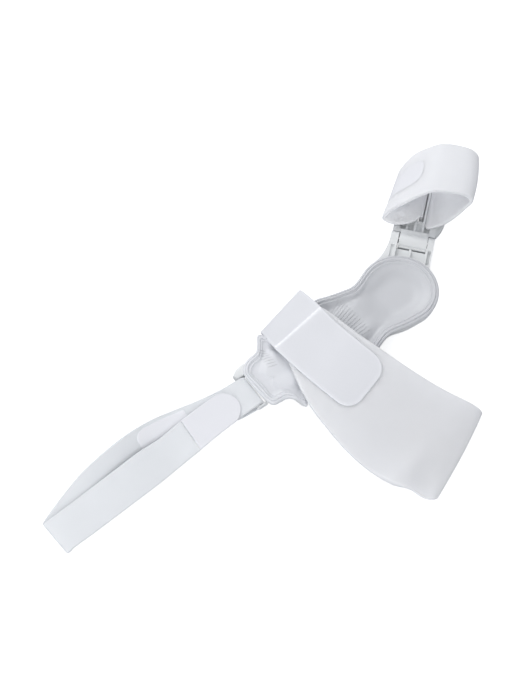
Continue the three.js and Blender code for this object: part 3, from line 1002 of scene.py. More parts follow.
    def _skin(self, points: Grid, number: Grid, below: Grid, frame_of: Matrix | None) -> tuple:
        """Covers the two faces of the wall.

        Args:
            points: Points of the outer face, then of the inner one.
            number: Point numbers of the outer face.
            below: Point numbers of the inner face, with those of the outer one at the cut edges.
            frame_of: The frame of the points, or none for the part's own.

        Returns:
            The object, and the (station, place) of every face corner.
        """
        count, width = number.shape
        steps = count if self.closed else count - 1
        faces, corners = [], []
        for i in range(steps):
            k = (i + 1) % count
            for j in range(width - 1):
                ring = ((i, j), (i, j + 1), (i + 1, j + 1), (i + 1, j))
                faces.append((number[i, j], number[i, j + 1], number[k, j + 1], number[k, j]))
                faces.append((below[i, j], below[k, j], below[k, j + 1], below[i, j + 1]))
                corners.extend([ring, (ring[0], ring[3], ring[2], ring[1])])
        return mesh_object(self.name, points, faces, frame_of), corners

    def _cloth(self, piece: bpy.types.Object, places: WallPlaces, corners: list, total: float) -> None:
        """Writes the run and the width in metres as the wall's cloth coordinates.

        Args:
            piece: The wall.
            places: Where its points lie.
            corners: The (station, place) of every face corner.
            total: The whole length.
        """
        run = np.concatenate([places.run[:, 0], [total]]) * MM
        across = np.vstack([places.across, places.across[:1]]) * MM
        cloth = piece.data.uv_layers.new(name=self.UV_NAME)
        flat = [value for ring in corners for i, j in ring for value in (run[i], across[i, j])]
        cloth.data.foreach_set("uv", np.array(flat, np.float32))

    @staticmethod
    def _drop_loose(piece: bpy.types.Object) -> None:
        """Deletes the inner points that the cut edges don't use.

        Args:
            piece: The wall.
        """
        form = bmesh.new()
        form.from_mesh(piece.data)
        loose = [vertex for vertex in form.verts if not vertex.link_faces]
        bmesh.ops.delete(form, geom=loose, context="VERTS")
        form.to_mesh(piece.data)
        form.free()

    def flat_size(self) -> tuple[float, float]:
        """Measures the strap cut flat.

        Returns:
            Its mean width and its length, in metres.
        """
        rows, _, total = self.stations()
        ends = self.points(rows, np.array([[self.low_share, self.up_share]] * len(rows)))
        width = np.linalg.norm(ends[:, 1] - ends[:, 0], axis=1)
        return float(np.mean(width)) * MM, total * MM


# Splint shell and liner


@dataclass(frozen=True)
class SectionRow:
    """One point of a section: inset from the rim, or on the middle line, and its height."""

    inset: float | None
    height: float | None = None
    drop: float | None = None
    heel_fill: float = 0.0


@dataclass
class SplintForm:
    """The splint's outline and the sections that its shell and liner share."""

    cup_radius: float = 23.25
    cup_middle: tuple[float, float] = (4.4, 3.5)
    cup_start: float = 112.0
    cup_end: float = -86.0
    rim_height: float = 12.0
    rim_dip: float = 1.4
    dip_middle: float = -57.5
    dip_reach: float = 27.0
    saddle_lift: float = 3.5
    lift_starts: float = 6.0
    lift_ends: float = 25.0
    spine_end: float = -86.0
    spine_bends: float = -32.0
    spine_steps: int = 45
    heel_starts: float = -60.0
    heel_full: float = -74.0
    soft_inset: float = 8.0
    soft_reach: int = 16
    steps: int = 10
    cup_steps: int = 120

    # Left and right half of the rim from the middle of the heel end on:
    # heel end, waist, horn, notch, flare and neck.
    LEFT_RIM = (
        (-98.5, 0.0),
        (-98.2, 11.4),
        (-95.2, 16.0),
        (-90.6, 18.2),
        (-84.6, 19.2),
        (-81.0, 22.8),
        (-77.4, 27.4),
        (-74.6, 25.6),
        (-72.0, 18.8),
        (-57.0, 15.4),
        (-46.0, 17.2),
        (-41.6, 23.0),
        (-38.2, 26.8),
        (-31.0, 24.5),
        (-23.4, 22.6),
        (-14.8, 21.4),
    )
    RIGHT_RIM = (
        (-98.5, 0.0),
        (-97.4, -9.4),
        (-95.2, -13.4),
        (-90.9, -14.2),
        (-86.2, -15.0),
        (-83.2, -18.5),
        (-81.2, -24.6),
        (-78.2, -21.2),
        (-73.4, -15.8),
        (-57.0, -14.6),
        (-44.4, -16.0),
        (-39.6, -21.4),
        (-35.6, -23.6),
        (-28.0, -19.9),
        (-23.2, -18.0),
        (-18.7, -16.9),
        (-14.7, -17.0),
        (-10.7, -17.8),
        (-6.6, -18.6),
        (-2.0, -19.2),
    )

    def outline(self) -> Grid:
        """Rim seen from above.

        Returns:
            Its points, once round the splint.
        """
        start, end = math.radians(self.cup_start), math.radians(self.cup_end)
        turns = start + (end - start) * np.arange(1, self.cup_steps) / self.cup_steps
        left = self._even_spline(np.array([*self.LEFT_RIM, self._cup_point(start)]))
        right = self._even_spline(np.array([*self.RIGHT_RIM, self._cup_point(end)]))
        cup = np.array([self._cup_point(turn) for turn in turns])
        return np.vstack([left, cup, right[:0:-1]])

    def _cup_point(self, turn: float) -> tuple[float, float]:
        """Point of the cup's round rim."""
        x, y = self.cup_middle
        return x + self.cup_radius * math.cos(turn), y + self.cup_radius * math.sin(turn)

    def _even_spline(self, corners: Grid) -> Grid:
        """Curve through corners that gives every span the same number of steps.

        Args:
            corners: The corners, one a row.

        Returns:
            The curve's points, both ends included.
        """
        count = (len(corners) - 1) * self.steps
        place = np.linspace(0, len(corners) - 1, count + 1)
        base = np.minimum(place.astype(int), len(corners) - 2)
        share = (place - base)[:, None]
        first, last = corners[base], corners[base + 1]
        leave = (last - corners[np.maximum(base - 1, 0)]) / 2
        reach = (corners[np.minimum(base + 2, len(corners) - 1)] - first) / 2
        square = -3 * first + 3 * last - 2 * leave - reach
        cube = 2 * first - 2 * last + leave + reach
        return first + share * (leave + share * (square + share * cube))

    def sections(self, rows: Sequence[SectionRow]) -> Grid:
        """Sections of the splint from its rim to its middle line.

        Rows on the middle line stand at steps that both halves of the splint share, so that the
        halves meet in the same points.

        Args:
            rows: The section's points.

        Returns:
            Every row at every place on the rim, as (places, rows, 3).
        """
        rim = self.outline()
        middle = np.clip(rim[:, 0], self.spine_end, self.cup_middle[0])
        step = (self.cup_middle[0] - self.spine_end) / self.spine_steps
        shared = self.spine_end + np.round((middle - self.spine_end) / step) * step
        near = range(-self.soft_reach, self.soft_reach + 1)
        soft_rim = np.mean([np.roll(rim, k, axis=0) for k in near], axis=0)
        from_dip = np.abs(middle - self.dip_middle)
        dip = self.rim_dip * (1 - ease(self.dip_reach / 2, self.dip_reach, from_dip))
        columns = []
        for row in rows:
            along = shared if row.inset is None else middle
            aside = self.cup_middle[1] * ease(self.spine_bends, self.cup_middle[0], along)
            spine = np.stack([along, aside], axis=1)
            lift = self.saddle_lift * ease(self.lift_starts, self.lift_ends, -along)
            heel = ease(-self.heel_starts, -self.heel_full, -along)
            start = soft_rim if row.inset is None or row.inset >= self.soft_inset else rim
            reach = np.linalg.norm(start - spine, axis=1)
            share = np.ones_like(reach) if row.inset is None else np.minimum(row.inset / reach, 1)
            flat = start + (spine - start) * share[:, None]
            height = lift + row.height if row.drop is None else self.rim_height - dip - row.drop
            columns.append(np.column_stack([flat, height + row.heel_fill * heel]))
        return np.stack(columns, axis=1)

    @staticmethod
    def skin(name: str, grid: Grid) -> bpy.types.Object:
        """Closed solid over sections that run from the middle line below to the one above.

        Args:
            name: The solid's name.
            grid: The sections' points as (places, rows, 3).

        Returns:
            The solid.
        """
        count, width = grid.shape[:2]
        number = np.arange(count * width).reshape(count, width)
        faces = []
        for i in range(count):
            k = (i + 1) % count
            for j in range(width - 1):
                faces.append((number[i, j], number[i, j + 1], number[k, j + 1], number[k, j]))
        return close_up(mesh_object(name, grid.reshape(-1, 3), faces))


@dataclass
class Hinge:
    """Knuckle hinge: its place on the splint and the sizes that both its halves share."""

    turn: float = 41.0
    distance: float = 41.0
    offset: float = -1.9
    height: float = 6.0
    ear_radius: float = 5.0
    ear_inner: float = 9.0
    left_ear_inner: float = 8.2
    ear_outer: float = 12.8
    bore: float = 1.55
    pin_radius: float = 1.25
    pin_end: float = 12.5
    pin_round: float = 0.3

    @property
    def frame_of(self) -> Matrix:
        """The hinge's own frame.

        Returns:
            Its place, with x along the toe arm and y to its left.
        """
        turn = math.radians(self.turn)
        x = self.distance * math.cos(turn) - self.offset * math.sin(turn)
        y = self.distance * math.sin(turn) + self.offset * math.cos(turn)
        return rotation_z(self.turn, x, y)

    def pin(self, wardrobe: Wardrobe) -> bpy.types.Object:
        """Makes the pin through the ears and the barrel, with rounded ends.

        Args:
            wardrobe: The finishes.

        Returns:
            The pin.
        """
        span = (-self.pin_end, self.pin_end)
        piece = rod("pin", self.pin_radius, span, (0, self.height), self.frame_of)
        soften(piece, self.pin_round)
        shade(piece)
        dress(piece, wardrobe.steel)
        return settle(piece, Body.SPLINT, Slot.STEEL, "hinge_pin")


@dataclass
class SplintShell:
    """Moulded shell: dish, hinge ears and the bar for the heel strap."""

    form: SplintForm
    hinge: Hinge
    rail_start: float = -24.0
    rail_bottom: float = 1.6
    rail_top: float = 10.4
    web_end: float = -6.2
    web_top: float = 7.4
    web_overlap: float = 1.0
    bore_reach: float = 16.0
    rib_width: float = 1.3
    rib_top: float = 9.4
    pocket_x: tuple[float, float] = (-15.5, -5.6)
    pocket_width: float = 1.8
    pocket_floor: float = 8.2
    left_pocket_floor: float = 9.2
    bar_x: float = -101.0
    bar_height: float = 7.5
    bar_radius: float = 1.6
    bar_cover: float = 0.4
    lug_radius: float = 1.8
    lug_start: float = -96.2
    lug_round: float = 0.5
    boss_round: float = 0.6
    boss_rise: float = 0.4
    ear_round: float = 0.35
    fillet_rise: float = 0.5
    fillet_drop: float = 0.05

    # Left and right lug across the bar, and the rooms cut for the cup as inset and heights.
    LUGS = ((11.5, 15.2), (-9.3, -8.1))
    CUP_CUTS = ((1.5, (4.5, 20.0)), (3.9, (2.3, 4.6)))
    # Boss beside the left lug, seen from above.
    BOSS = (
        (-96.0, 11.6),
        (-101.8, 11.6),
        (-102.6, 14.4),
        (-100.6, 16.0),
        (-98.6, 16.9),
        (-95.4, 17.4),
        (-93.4, 17.6),
        (-93.8, 14.0),
    )
    # Fillets between the rails and the cup as (x, how far out from the rail): the curve's start,
    # corner and end, then the points inside the rail. The left one, 1, is longer than the right one.
    FILLETS = {
        1: (((-1.0, 0.0), (-13.0, 0.6), (-20.6, 6.2)), ((-22.4, 4.8), (-20.0, -0.8), (-1.0, -0.8))),
        -1: (((-15.0, 0.0), (-19.6, 0.0), (-24.4, 3.1)), ((-25.4, 2.6), (-24.0, -0.8), (-15.0, -0.8))),
    }
    FILLET_STEPS = {1: 12, -1: 8}
    # Solids that join step back by this, so that no two of them share a plane.
    STEP = 0.23
    # Steps of the round forms. The bar's differ from the lugs', so that their edges don't fall together.
    KNUCKLE_STEPS = 40
    LUG_STEPS = 16
    BAR_SIDES = 36
    OUTSIDE = (
        SectionRow(None, height=0.0),
        SectionRow(8.5, height=0.0),
        SectionRow(4.4, height=1.1),
        SectionRow(1.7, height=3.9),
        SectionRow(1.0, drop=3.4),
        SectionRow(0.95, drop=2.3),
        SectionRow(1.2, drop=1.75),
        SectionRow(1.5, drop=1.7),
    )
    SEAT = (
        SectionRow(1.75, drop=1.75),
        SectionRow(2.0, drop=2.3),
        SectionRow(3.2, height=5.0),
        SectionRow(5.6, height=2.6),
        SectionRow(9.2, height=1.7),
        SectionRow(None, height=1.7),
    )

    def build(self, wardrobe: Wardrobe) -> bpy.types.Object:
        """Makes the shell in its finish.

        Args:
            wardrobe: The finishes.

        Returns:
            The shell.
        """
        dish = self.form.skin("shell", corner_cut(self.form.sections([*self.OUTSIDE, *self.SEAT]), 2))
        piece = close_up(combine(dish, [self._ears(), self._bar()], Operation.JOIN), MOULD_REACH)
        shade(piece)
        dress(piece, wardrobe.plastic)
        return settle(piece, Body.SPLINT, Slot.PLASTIC, "splint_shell")

    def _cup_cut(self) -> list[bpy.types.Object]:
        """Rooms that keep the ears out of the cup, reaching part way into its wall.

        Returns:
            The solids to cut away.
        """
        x, y = self.form.cup_middle
        place = Matrix.Translation((x, y, 0.0))
        cuts = []
        for inset, heights in self.CUP_CUTS:
            room = circle((0, 0), self.form.cup_radius - inset, self.form.cup_steps)
            cuts.append(prism("cup_room", room, heights, Axis.Z, place))
        return cuts

    def _rail_outline(self) -> list:
        """Side view of a rail with its knuckle.

        Returns:
            Its corners as (x, z) in the hinge's frame.
        """
        hinge = self.hinge
        low = math.degrees(math.asin((self.rail_bottom - hinge.height) / hinge.ear_radius))
        high = math.degrees(math.asin((self.rail_top - hinge.height) / hinge.ear_radius))
        middle = (0, hinge.height)
        knuckle = arc(middle, hinge.ear_radius, -180 - low, 180 - high, self.KNUCKLE_STEPS)
        return [(self.rail_start, self.rail_bottom), *knuckle, (self.rail_start, self.rail_top)]

    def _ears(self) -> bpy.types.Object:
        """Both rails with their knuckles and pockets, the web between them and its rib.

        Returns:
            The ears as one solid.
        """
        hinge, at = self.hinge, self.hinge.frame_of
        wide = hinge.ear_inner + self.web_overlap
        web_bottom = self.rail_bottom + self.STEP
        web_x = (self.rail_start + self.STEP, self.web_end)
        web = block("ears", web_x, (-wide, wide), (web_bottom, self.web_top), at)
        half = self.rib_width / 2
        rib = (web_bottom + self.STEP, self.rib_top)
        rib_x = (self.rail_start + 2 * self.STEP, self.web_end - self.STEP)
        added = [block("rib", rib_x, (-half, half), rib, at)]
        cuts = [rod("bore", hinge.bore, (-self.bore_reach, self.bore_reach), (0, hinge.height), at)]
        for side in (1, -1):
            inner = hinge.left_ear_inner if side > 0 else hinge.ear_inner
            span = tuple(sorted((side * inner, side * hinge.ear_outer)))
            added.append(prism("rail", self._rail_outline(), span, Axis.Y, at))
            added.append(self._fillet(side))
            middle = sum(span) / 2
            pocket = (middle - self.pocket_width / 2, middle + self.pocket_width / 2)
            floor = self.left_pocket_floor if side > 0 else self.pocket_floor
            cuts.append(block("pocket", self.pocket_x, pocket, (floor, self.rail_top + 2), at))
        ears = combine(web, added, Operation.JOIN)
        ears = combine(ears, [*cuts, *self._cup_cut()], Operation.CUT)
        return soften(ears, self.ear_round)

    def _fillet(self, side: int) -> bpy.types.Object:
        """Fillet in plan between a rail's outside and the cup.

        Args:
            side: 1 for the left rail, -1 for the right one.

        Returns:
            The fillet.
        """
        curve, inside = (
            [(x, side * (self.hinge.ear_outer + out)) for x, out in points] for points in self.FILLETS[side]
        )
        outline = [*bend(*curve, self.FILLET_STEPS[side]), *inside]
        heights = (self.rail_bottom + self.fillet_rise, self.rail_top - self.fillet_drop)
        return prism("fillet", outline, heights, Axis.Z, self.hinge.frame_of)

    def _bar(self) -> bpy.types.Object:
        """Bar for the heel strap between its two lugs, with the boss beside them.

        Returns:
            The three as one solid.
        """
        here = Matrix.Identity(4)
        reach = (self.LUGS[1][0] + self.bar_cover, self.LUGS[0][1] - 1)
        middle = (self.bar_x, self.bar_height)
        bar = rod("bar", self.bar_radius, reach, middle, here, self.BAR_SIDES)
        low, high = self.bar_height - self.lug_radius, self.bar_height + self.lug_radius
        round_end = arc(middle, self.lug_radius, 90, 270, self.LUG_STEPS)
        outline = [*round_end, (self.lug_start, low), (self.lug_start, high)]
        lugs = [soften(prism("lug", outline, span, Axis.Y, here), self.lug_round, 3) for span in self.LUGS]
        boss = prism("boss", self.BOSS, (low, high + self.boss_rise), Axis.Z, here)
        return combine(bar, [*lugs, soften(boss, self.boss_round, 3)], Operation.JOIN)


@dataclass(frozen=True)
class RibFan:
    """Fan of ribs: where its middle one starts, their spacing and length, and how they turn and spread.

    Lengths and the rise over the pad are in millimetres and angles in degrees. Ribs of a negative
    length run towards the heel.
    """

    start: tuple[float, float]
    count: int
    spacing: float
    length: float
    spread: float
    turn: float
    rise: float


@dataclass
class GelLiner:
    """Translucent gel pad with a double bead round its edge and fine ribs in the saddle."""

    THIN_NAME = "thin_gel"

    form: SplintForm
    row_steps: int = 5
    rib_radius: float = 0.24
    rib_step: float = 0.6
    ray_height: float = 50.0

    # Distances behind the cup over which the gel thins out towards the heel.
    THIN_FROM = (30.0, 84.0)
    BED = (
        SectionRow(None, height=2.2),
        SectionRow(9.5, height=2.2),
        SectionRow(6.0, height=3.0),
        SectionRow(3.5, height=5.2),
        SectionRow(2.2, drop=2.3),
        SectionRow(1.9, drop=1.65),
        SectionRow(1.1, drop=1.6),
        SectionRow(0.85, drop=2.2),
    )
    TOP = (
        SectionRow(0.75, drop=2.2),
        SectionRow(0.65, drop=1.3),
        SectionRow(0.9, drop=0.55),
        SectionRow(1.4, drop=0.22),
        SectionRow(1.9, drop=0.15),
        SectionRow(2.25, drop=0.4),
        SectionRow(2.6, drop=-0.2),
        SectionRow(3.3, drop=-0.3),
        SectionRow(3.9, drop=0.5),
        SectionRow(4.4, drop=0.72),
        SectionRow(5.0, drop=0.55),
        SectionRow(5.9, drop=1.2),
        SectionRow(8.4, drop=2.4, heel_fill=1.1),
        SectionRow(12.5, height=7.7, heel_fill=0.8),
        SectionRow(None, height=7.4, heel_fill=0.9),
    )
    FANS = (
        RibFan(start=(-36.0, 3.6), count=13, spacing=1.75, length=12.0, spread=30.0, turn=12.0, rise=0.02),
        RibFan(start=(-79.0, 10.4), count=7, spacing=1.8, length=-6.6, spread=-24.0, turn=-26.0, rise=-0.07),
        RibFan(start=(-27.4, -6.6), count=2, spacing=2.3, length=2.4, spread=0.0, turn=30.0, rise=0.02),
    )

    def build(self, wardrobe: Wardrobe) -> bpy.types.Object:
        """Makes the pad, then its ribs on it.

        Args:
            wardrobe: The finishes.

        Returns:
            The pad.
        """
        bed = corner_cut(self.form.sections(self.BED), 1)
        top = self.form.sections(self.TOP)
        spans = len(self.TOP) - 1
        fine = np.linspace(0, spans, self.row_steps * spans + 1)
        smooth = np.stack([catmull_rom(section, fine) for section in top])
        piece = self.form.skin("gel_pad", np.concatenate([bed, smooth], axis=1))
        places = np.zeros(3 * len(piece.data.vertices), np.float32)
        piece.data.vertices.foreach_get("co", places)
        mark_points(piece, self.THIN_NAME, ease(*self.THIN_FROM, -places[::3] / MM))
        dress(piece, wardrobe.gel)
        settle(piece, Body.SPLINT, Slot.GEL, "liner")
        self._ribs(piece, wardrobe)
        return piece

    def _ribs(self, pad: bpy.types.Object, wardrobe: Wardrobe) -> None:
        """Lays the fans of ribs on the pad's surface.

        Args:
            pad: The pad.
            wardrobe: The finishes.
        """
        surface = BVHTree.FromObject(pad, bpy.context.evaluated_depsgraph_get())
        points, edges = [], []
        for fan in self.FANS:
            for k in range(fan.count):
                line = self._rib_line(fan, k - (fan.count - 1) / 2, surface)
                edges.extend((len(points) + i, len(points) + i + 1) for i in range(len(line) - 1))
                points.extend(line)
        ribs = line_object("gel_ribs", points, edges)
        RibTree().grow(ribs, wardrobe.gel, {"Rib Radius": self.rib_radius})
        settle(ribs, Body.SPLINT, Slot.GEL)

    def _rib_line(self, fan: RibFan, place: float, surface: BVHTree) -> list:
        """Line of one rib on the pad.

        Args:
            fan: The rib's fan.
            place: Its number in the fan, counted from the middle.
            surface: The pad's surface.

        Returns:
            Its points in millimetres.
        """
        turn = math.radians(fan.turn + fan.spread * place / fan.count)
        way = Vector((math.cos(turn), math.sin(turn), 0.0)) * math.copysign(1, fan.length)
        start = Vector((fan.start[0], fan.start[1] + place * fan.spacing, 0.0))
        line = []
        for k in range(int(abs(fan.length) / self.rib_step) + 1):
            flat = (start + way * self.rib_step * k) * MM
            above = Vector((flat.x, flat.y, self.ray_height * MM))
            hit = surface.ray_cast(above, Vector((0, 0, -1)))[0]
            if hit is not None:
                line.append(hit / MM + Vector((0, 0, fan.rise)))
        return line


class LineTree:
    """Geometry nodes that turn a piece's lines into small solids, with named inputs for their sizes."""

    def __init__(self, name: str, sizes: Sequence[str]) -> None:
        """Starts the tree.

        Args:
            name: The tree's name.
            sizes: Names of its inputs for sizes.
        """
        self.tree = bpy.data.node_groups.new(name, "GeometryNodeTree")
        kinds = {"Lines": "Geometry", **{size: "Float" for size in sizes}, "Finish": "Material"}
        face = self.tree.interface
        self.sockets = {
            label: face.new_socket(label, in_out="INPUT", socket_type=f"NodeSocket{kind}").identifier
            for label, kind in kinds.items()
        }
        face.new_socket("Solids", in_out="OUTPUT", socket_type="NodeSocketGeometry")
        self.pad = NodePad(self.tree)
        self.given = self.pad.add("NodeGroupInput").outputs
        self.lines = self.pad.add("GeometryNodeMeshToCurve", {"Mesh": self.given["Lines"]}).outputs["Curve"]

    def end(self, solids: bpy.types.NodeSocket) -> None:
        """Makes the solids real and smooth, and gives them their finish.

        Args:
            solids: The socket that they come from.
        """
        real = self.pad.add("GeometryNodeRealizeInstances", {"Geometry": solids}).outputs[0]
        smooth = self.pad.add("GeometryNodeSetShadeSmooth", {"Geometry": real}).outputs[0]
        finish = {"Geometry": smooth, "Material": self.given["Finish"]}
        dressed = self.pad.add("GeometryNodeSetMaterial", finish).outputs[0]
        self.pad.add("NodeGroupOutput", {"Solids": dressed})

    def grow(self, lines: bpy.types.Object, finish: bpy.types.Material, sizes: dict[str, float]) -> None:
        """Turns a piece's lines into solids.

        Args:
            lines: The piece that holds the lines.
            finish: The solids' material.
            sizes: Their sizes in millimetres, by input name.
        """
        modifier = lines.modifiers.new(self.tree.name, "NODES")
        modifier.node_group = self.tree
        for label, size in sizes.items():
            modifier[self.sockets[label]] = size * MM
        modifier[self.sockets["Finish"]] = finish
        bake(lines)


class RibTree(LineTree):
    """Ribs along lines, with thin ends."""

    SIDES = 8
    # Radius of a rib's very ends, in metres.
    END_RADIUS = 0.00002

    def __init__(self) -> None:
        """Builds the tree."""
        super().__init__("rib_fan", ["Rib Radius"])
        pad = self.pad
        share = pad.add("GeometryNodeSplineParameter").outputs["Factor"]
        swell = pad.math("POWER", pad.math("SINE", pad.math("MULTIPLY", share, math.pi)), 0.5)
        radius = pad.math("MULTIPLY", swell, self.given["Rib Radius"])
        section = pad.add("GeometryNodeCurvePrimitiveCircle", {"Resolution": self.SIDES, "Radius": 1.0})
        sweep = {
            "Curve": self.lines,
            "Profile Curve": section.outputs["Curve"],
            "Scale": pad.math("MAXIMUM", radius, self.END_RADIUS),
            "Fill Caps": True,
        }
        self.end(pad.add("GeometryNodeCurveToMesh", sweep).outputs["Mesh"])


class StitchTree(LineTree):
    """Rows of stitches along lines."""

    BEAD = {"Segments": 8, "Rings": 6, "Radius": 1.0}
    # In millimetres: how far apart stitches start, and the thread's radius. Then the share of the pitch
    # that a stitch takes up.
    PITCH = 2.2
    THREAD_RADIUS = 0.2
    LENGTH_SHARE = 0.72

    def __init__(self) -> None:
        """Builds the tree."""
        super().__init__("stitch_row", ["Pitch", "Stitch Length", "Thread Radius"])
        pad, given = self.pad, self.given
        spacing = {"Curve": self.lines, "Length": given["Pitch"]}
        row = pad.add("GeometryNodeCurveToPoints", spacing, mode="LENGTH").outputs
        bead = pad.add("GeometryNodeMeshUVSphere", self.BEAD).outputs["Mesh"]
        half = pad.math("MULTIPLY", given["Stitch Length"], 0.5)
        thread = given["Thread Radius"]
        size = pad.add("ShaderNodeCombineXYZ", {0: thread, 1: thread, 2: half}).outputs[0]
        stitch = pad.add("GeometryNodeTransform", {"Geometry": bead, "Scale": size}).outputs[0]
        placed = {"Points": row["Points"], "Instance": stitch, "Rotation": row["Rotation"]}
        self.end(pad.add("GeometryNodeInstanceOnPoints", placed).outputs[0])

    def sew(self, name: str, points: Grid, finish: bpy.types.Material) -> bpy.types.Object:
        """Sews a row of stitches.

        Args:
            name: The piece's name.
            points: Its line in millimetres, in the part's frame.
            finish: The thread's material.

        Returns:
            The stitches as one piece.
        """
        piece = line_object(name, points, [(k, k + 1) for k in range(len(points) - 1)])
        length = self.LENGTH_SHARE * self.PITCH
        sizes = {"Pitch": self.PITCH, "Stitch Length": length, "Thread Radius": self.THREAD_RADIUS}
        self.grow(piece, finish, sizes)
        return piece


# Toe arm and toe loop


@dataclass
class ToeArm:
    """Moulded arm: hinge barrel, slotted frame and its ribs."""

    hinge: Hinge
    barrel_radius: float = 4.7
    barrel_left: float = 7.6
    barrel_right: float = 8.7
    root: float = 6.1
    tip: float = 47.0
    half: float = 12.4
    bottom: float = 0.2
    top: float = 7.0
    tip_radius: float = 7.0
    slot_x: tuple[float, float] = (15.4, 43.4)
    recess_x: tuple[float, float] = (8.2, 15.0)
    recess_floor: float = 4.9
    left_floor: float = 0.9
    left_deep: float = 5.4
    left_rest: float = 6.3
    flare_top: float = 4.0
    slot_width: float = 3.3
    slot_first: float = 0.7
    rib: float = 1.3
    rib_bottom: float = 4.6
    plate_below: float = 3.4
    plate_above: float = 2.3
    lip_radius: float = 0.7
    lip_sink: float = 0.1
    lip_rise: float = 1.5
    lip_short: float = 0.2
    edge_round: float = 0.3
    bore_reach: float = 20.0

    # Cuts that meet stop short of each other's walls by this, so that no two of them share a plane.
    STEP = 0.06
    # Right side of the frame where it flares out below the band: start, corner and end of its curve,
    # and a point inside the frame.
    FLARE = ((8.6, -12.3), (24.0, -22.0), (44.0, -10.5))
    FLARE_ROOT = (8.6, -8.0)
    FLARE_STEPS = 20
    TIP_STEPS = 10
    LIP_SIDES = 16

    def build(self, wardrobe: Wardrobe) -> bpy.types.Object:
        """Makes the arm in its finish.

        Args:
            wardrobe: The finishes.

        Returns:
            The arm.
        """
        at, height = self.hinge.frame_of, self.hinge.height
        across = (-self.barrel_right, self.barrel_left)
        arm = prism("toe_arm_moulding", self._plan(), (self.bottom, self.top), Axis.Z, at)
        root_heights = (height - self.plate_below, height + self.plate_above)
        flare = [*bend(*self.FLARE, self.FLARE_STEPS), self.FLARE_ROOT]
        added = [
            rod("barrel", self.barrel_radius, across, (0, height), at),
            block("root", (0, self.root + 1), across, root_heights, at),
            prism("flare", flare, (self.bottom, self.flare_top), Axis.Z, at),
        ]
        arm = combine(arm, added, Operation.JOIN)
        bore = rod("bore", self.hinge.bore, (-self.bore_reach, self.bore_reach), (0, height), at)
        arm = soften(combine(arm, [*self._slots(), bore], Operation.CUT), self.edge_round)
        lip_middle = (-self.barrel_radius + self.lip_sink, height + self.lip_rise)
        lip_span = (across[0] + self.lip_short, across[1] - self.lip_short)
        lip = rod("lip", self.lip_radius, lip_span, lip_middle, at, self.LIP_SIDES)
        arm = close_up(combine(arm, [lip], Operation.JOIN), MOULD_REACH)
        shade(arm)
        dress(arm, wardrobe.plastic)
        return settle(arm, Body.TOE, Slot.PLASTIC, "toe_arm")

    def _plan(self) -> list:
        """Frame seen from above, round at its tip.

        Returns:
            Its corners in the hinge's frame.
        """
        middle = self.tip - self.tip_radius
        inner = self.half - self.tip_radius
        right = arc((middle, -inner), self.tip_radius, -90, 0, self.TIP_STEPS)
        left = arc((middle, inner), self.tip_radius, 0, 90, self.TIP_STEPS)
        return [(self.root, -self.half), *right, *left, (self.root, self.half)]

    def _slots(self) -> list[bpy.types.Object]:
        """Two slots each side of the middle rib, and the room under the thin ribs between them.

        The right slots go through the frame. The left ones are shallow, with a deep hole at their start.

        Returns:
            The solids to cut away.
        """
        at, cuts, step = self.hinge.frame_of, [], self.STEP
        pitch = self.slot_width + self.rib
        above = self.top + 1
        hole_x = (self.slot_x[0] + step, self.slot_x[0] + self.left_deep)
        through = self.bottom - 1
        for side in (1, -1):
            for k in (0, 1):
                low, high = sorted(side * (self.slot_first + k * pitch + w) for w in (0, self.slot_width))
                floor = self.left_rest if side > 0 else through
                cuts.append(block("slot", self.slot_x, (low, high), (floor, above), at))
                if side > 0:
                    inner = (low + step, high - step)
                    cuts.append(block("hole", hole_x, inner, (self.left_floor, above + 1), at))
                cuts.append(block("recess", self.recess_x, (low, high), (self.recess_floor, above), at))
            ends = (self.slot_first + 2 * step, self.slot_first + pitch + self.slot_width - 2 * step)
            across = tuple(sorted(side * end for end in ends))
            along, floor = (hole_x, self.left_floor) if side > 0 else (self.slot_x, through)
            room_x = (along[0] + step, along[1] - step)
            cuts.append(block("under", room_x, across, (floor + step, self.rib_bottom), at))
        return cuts


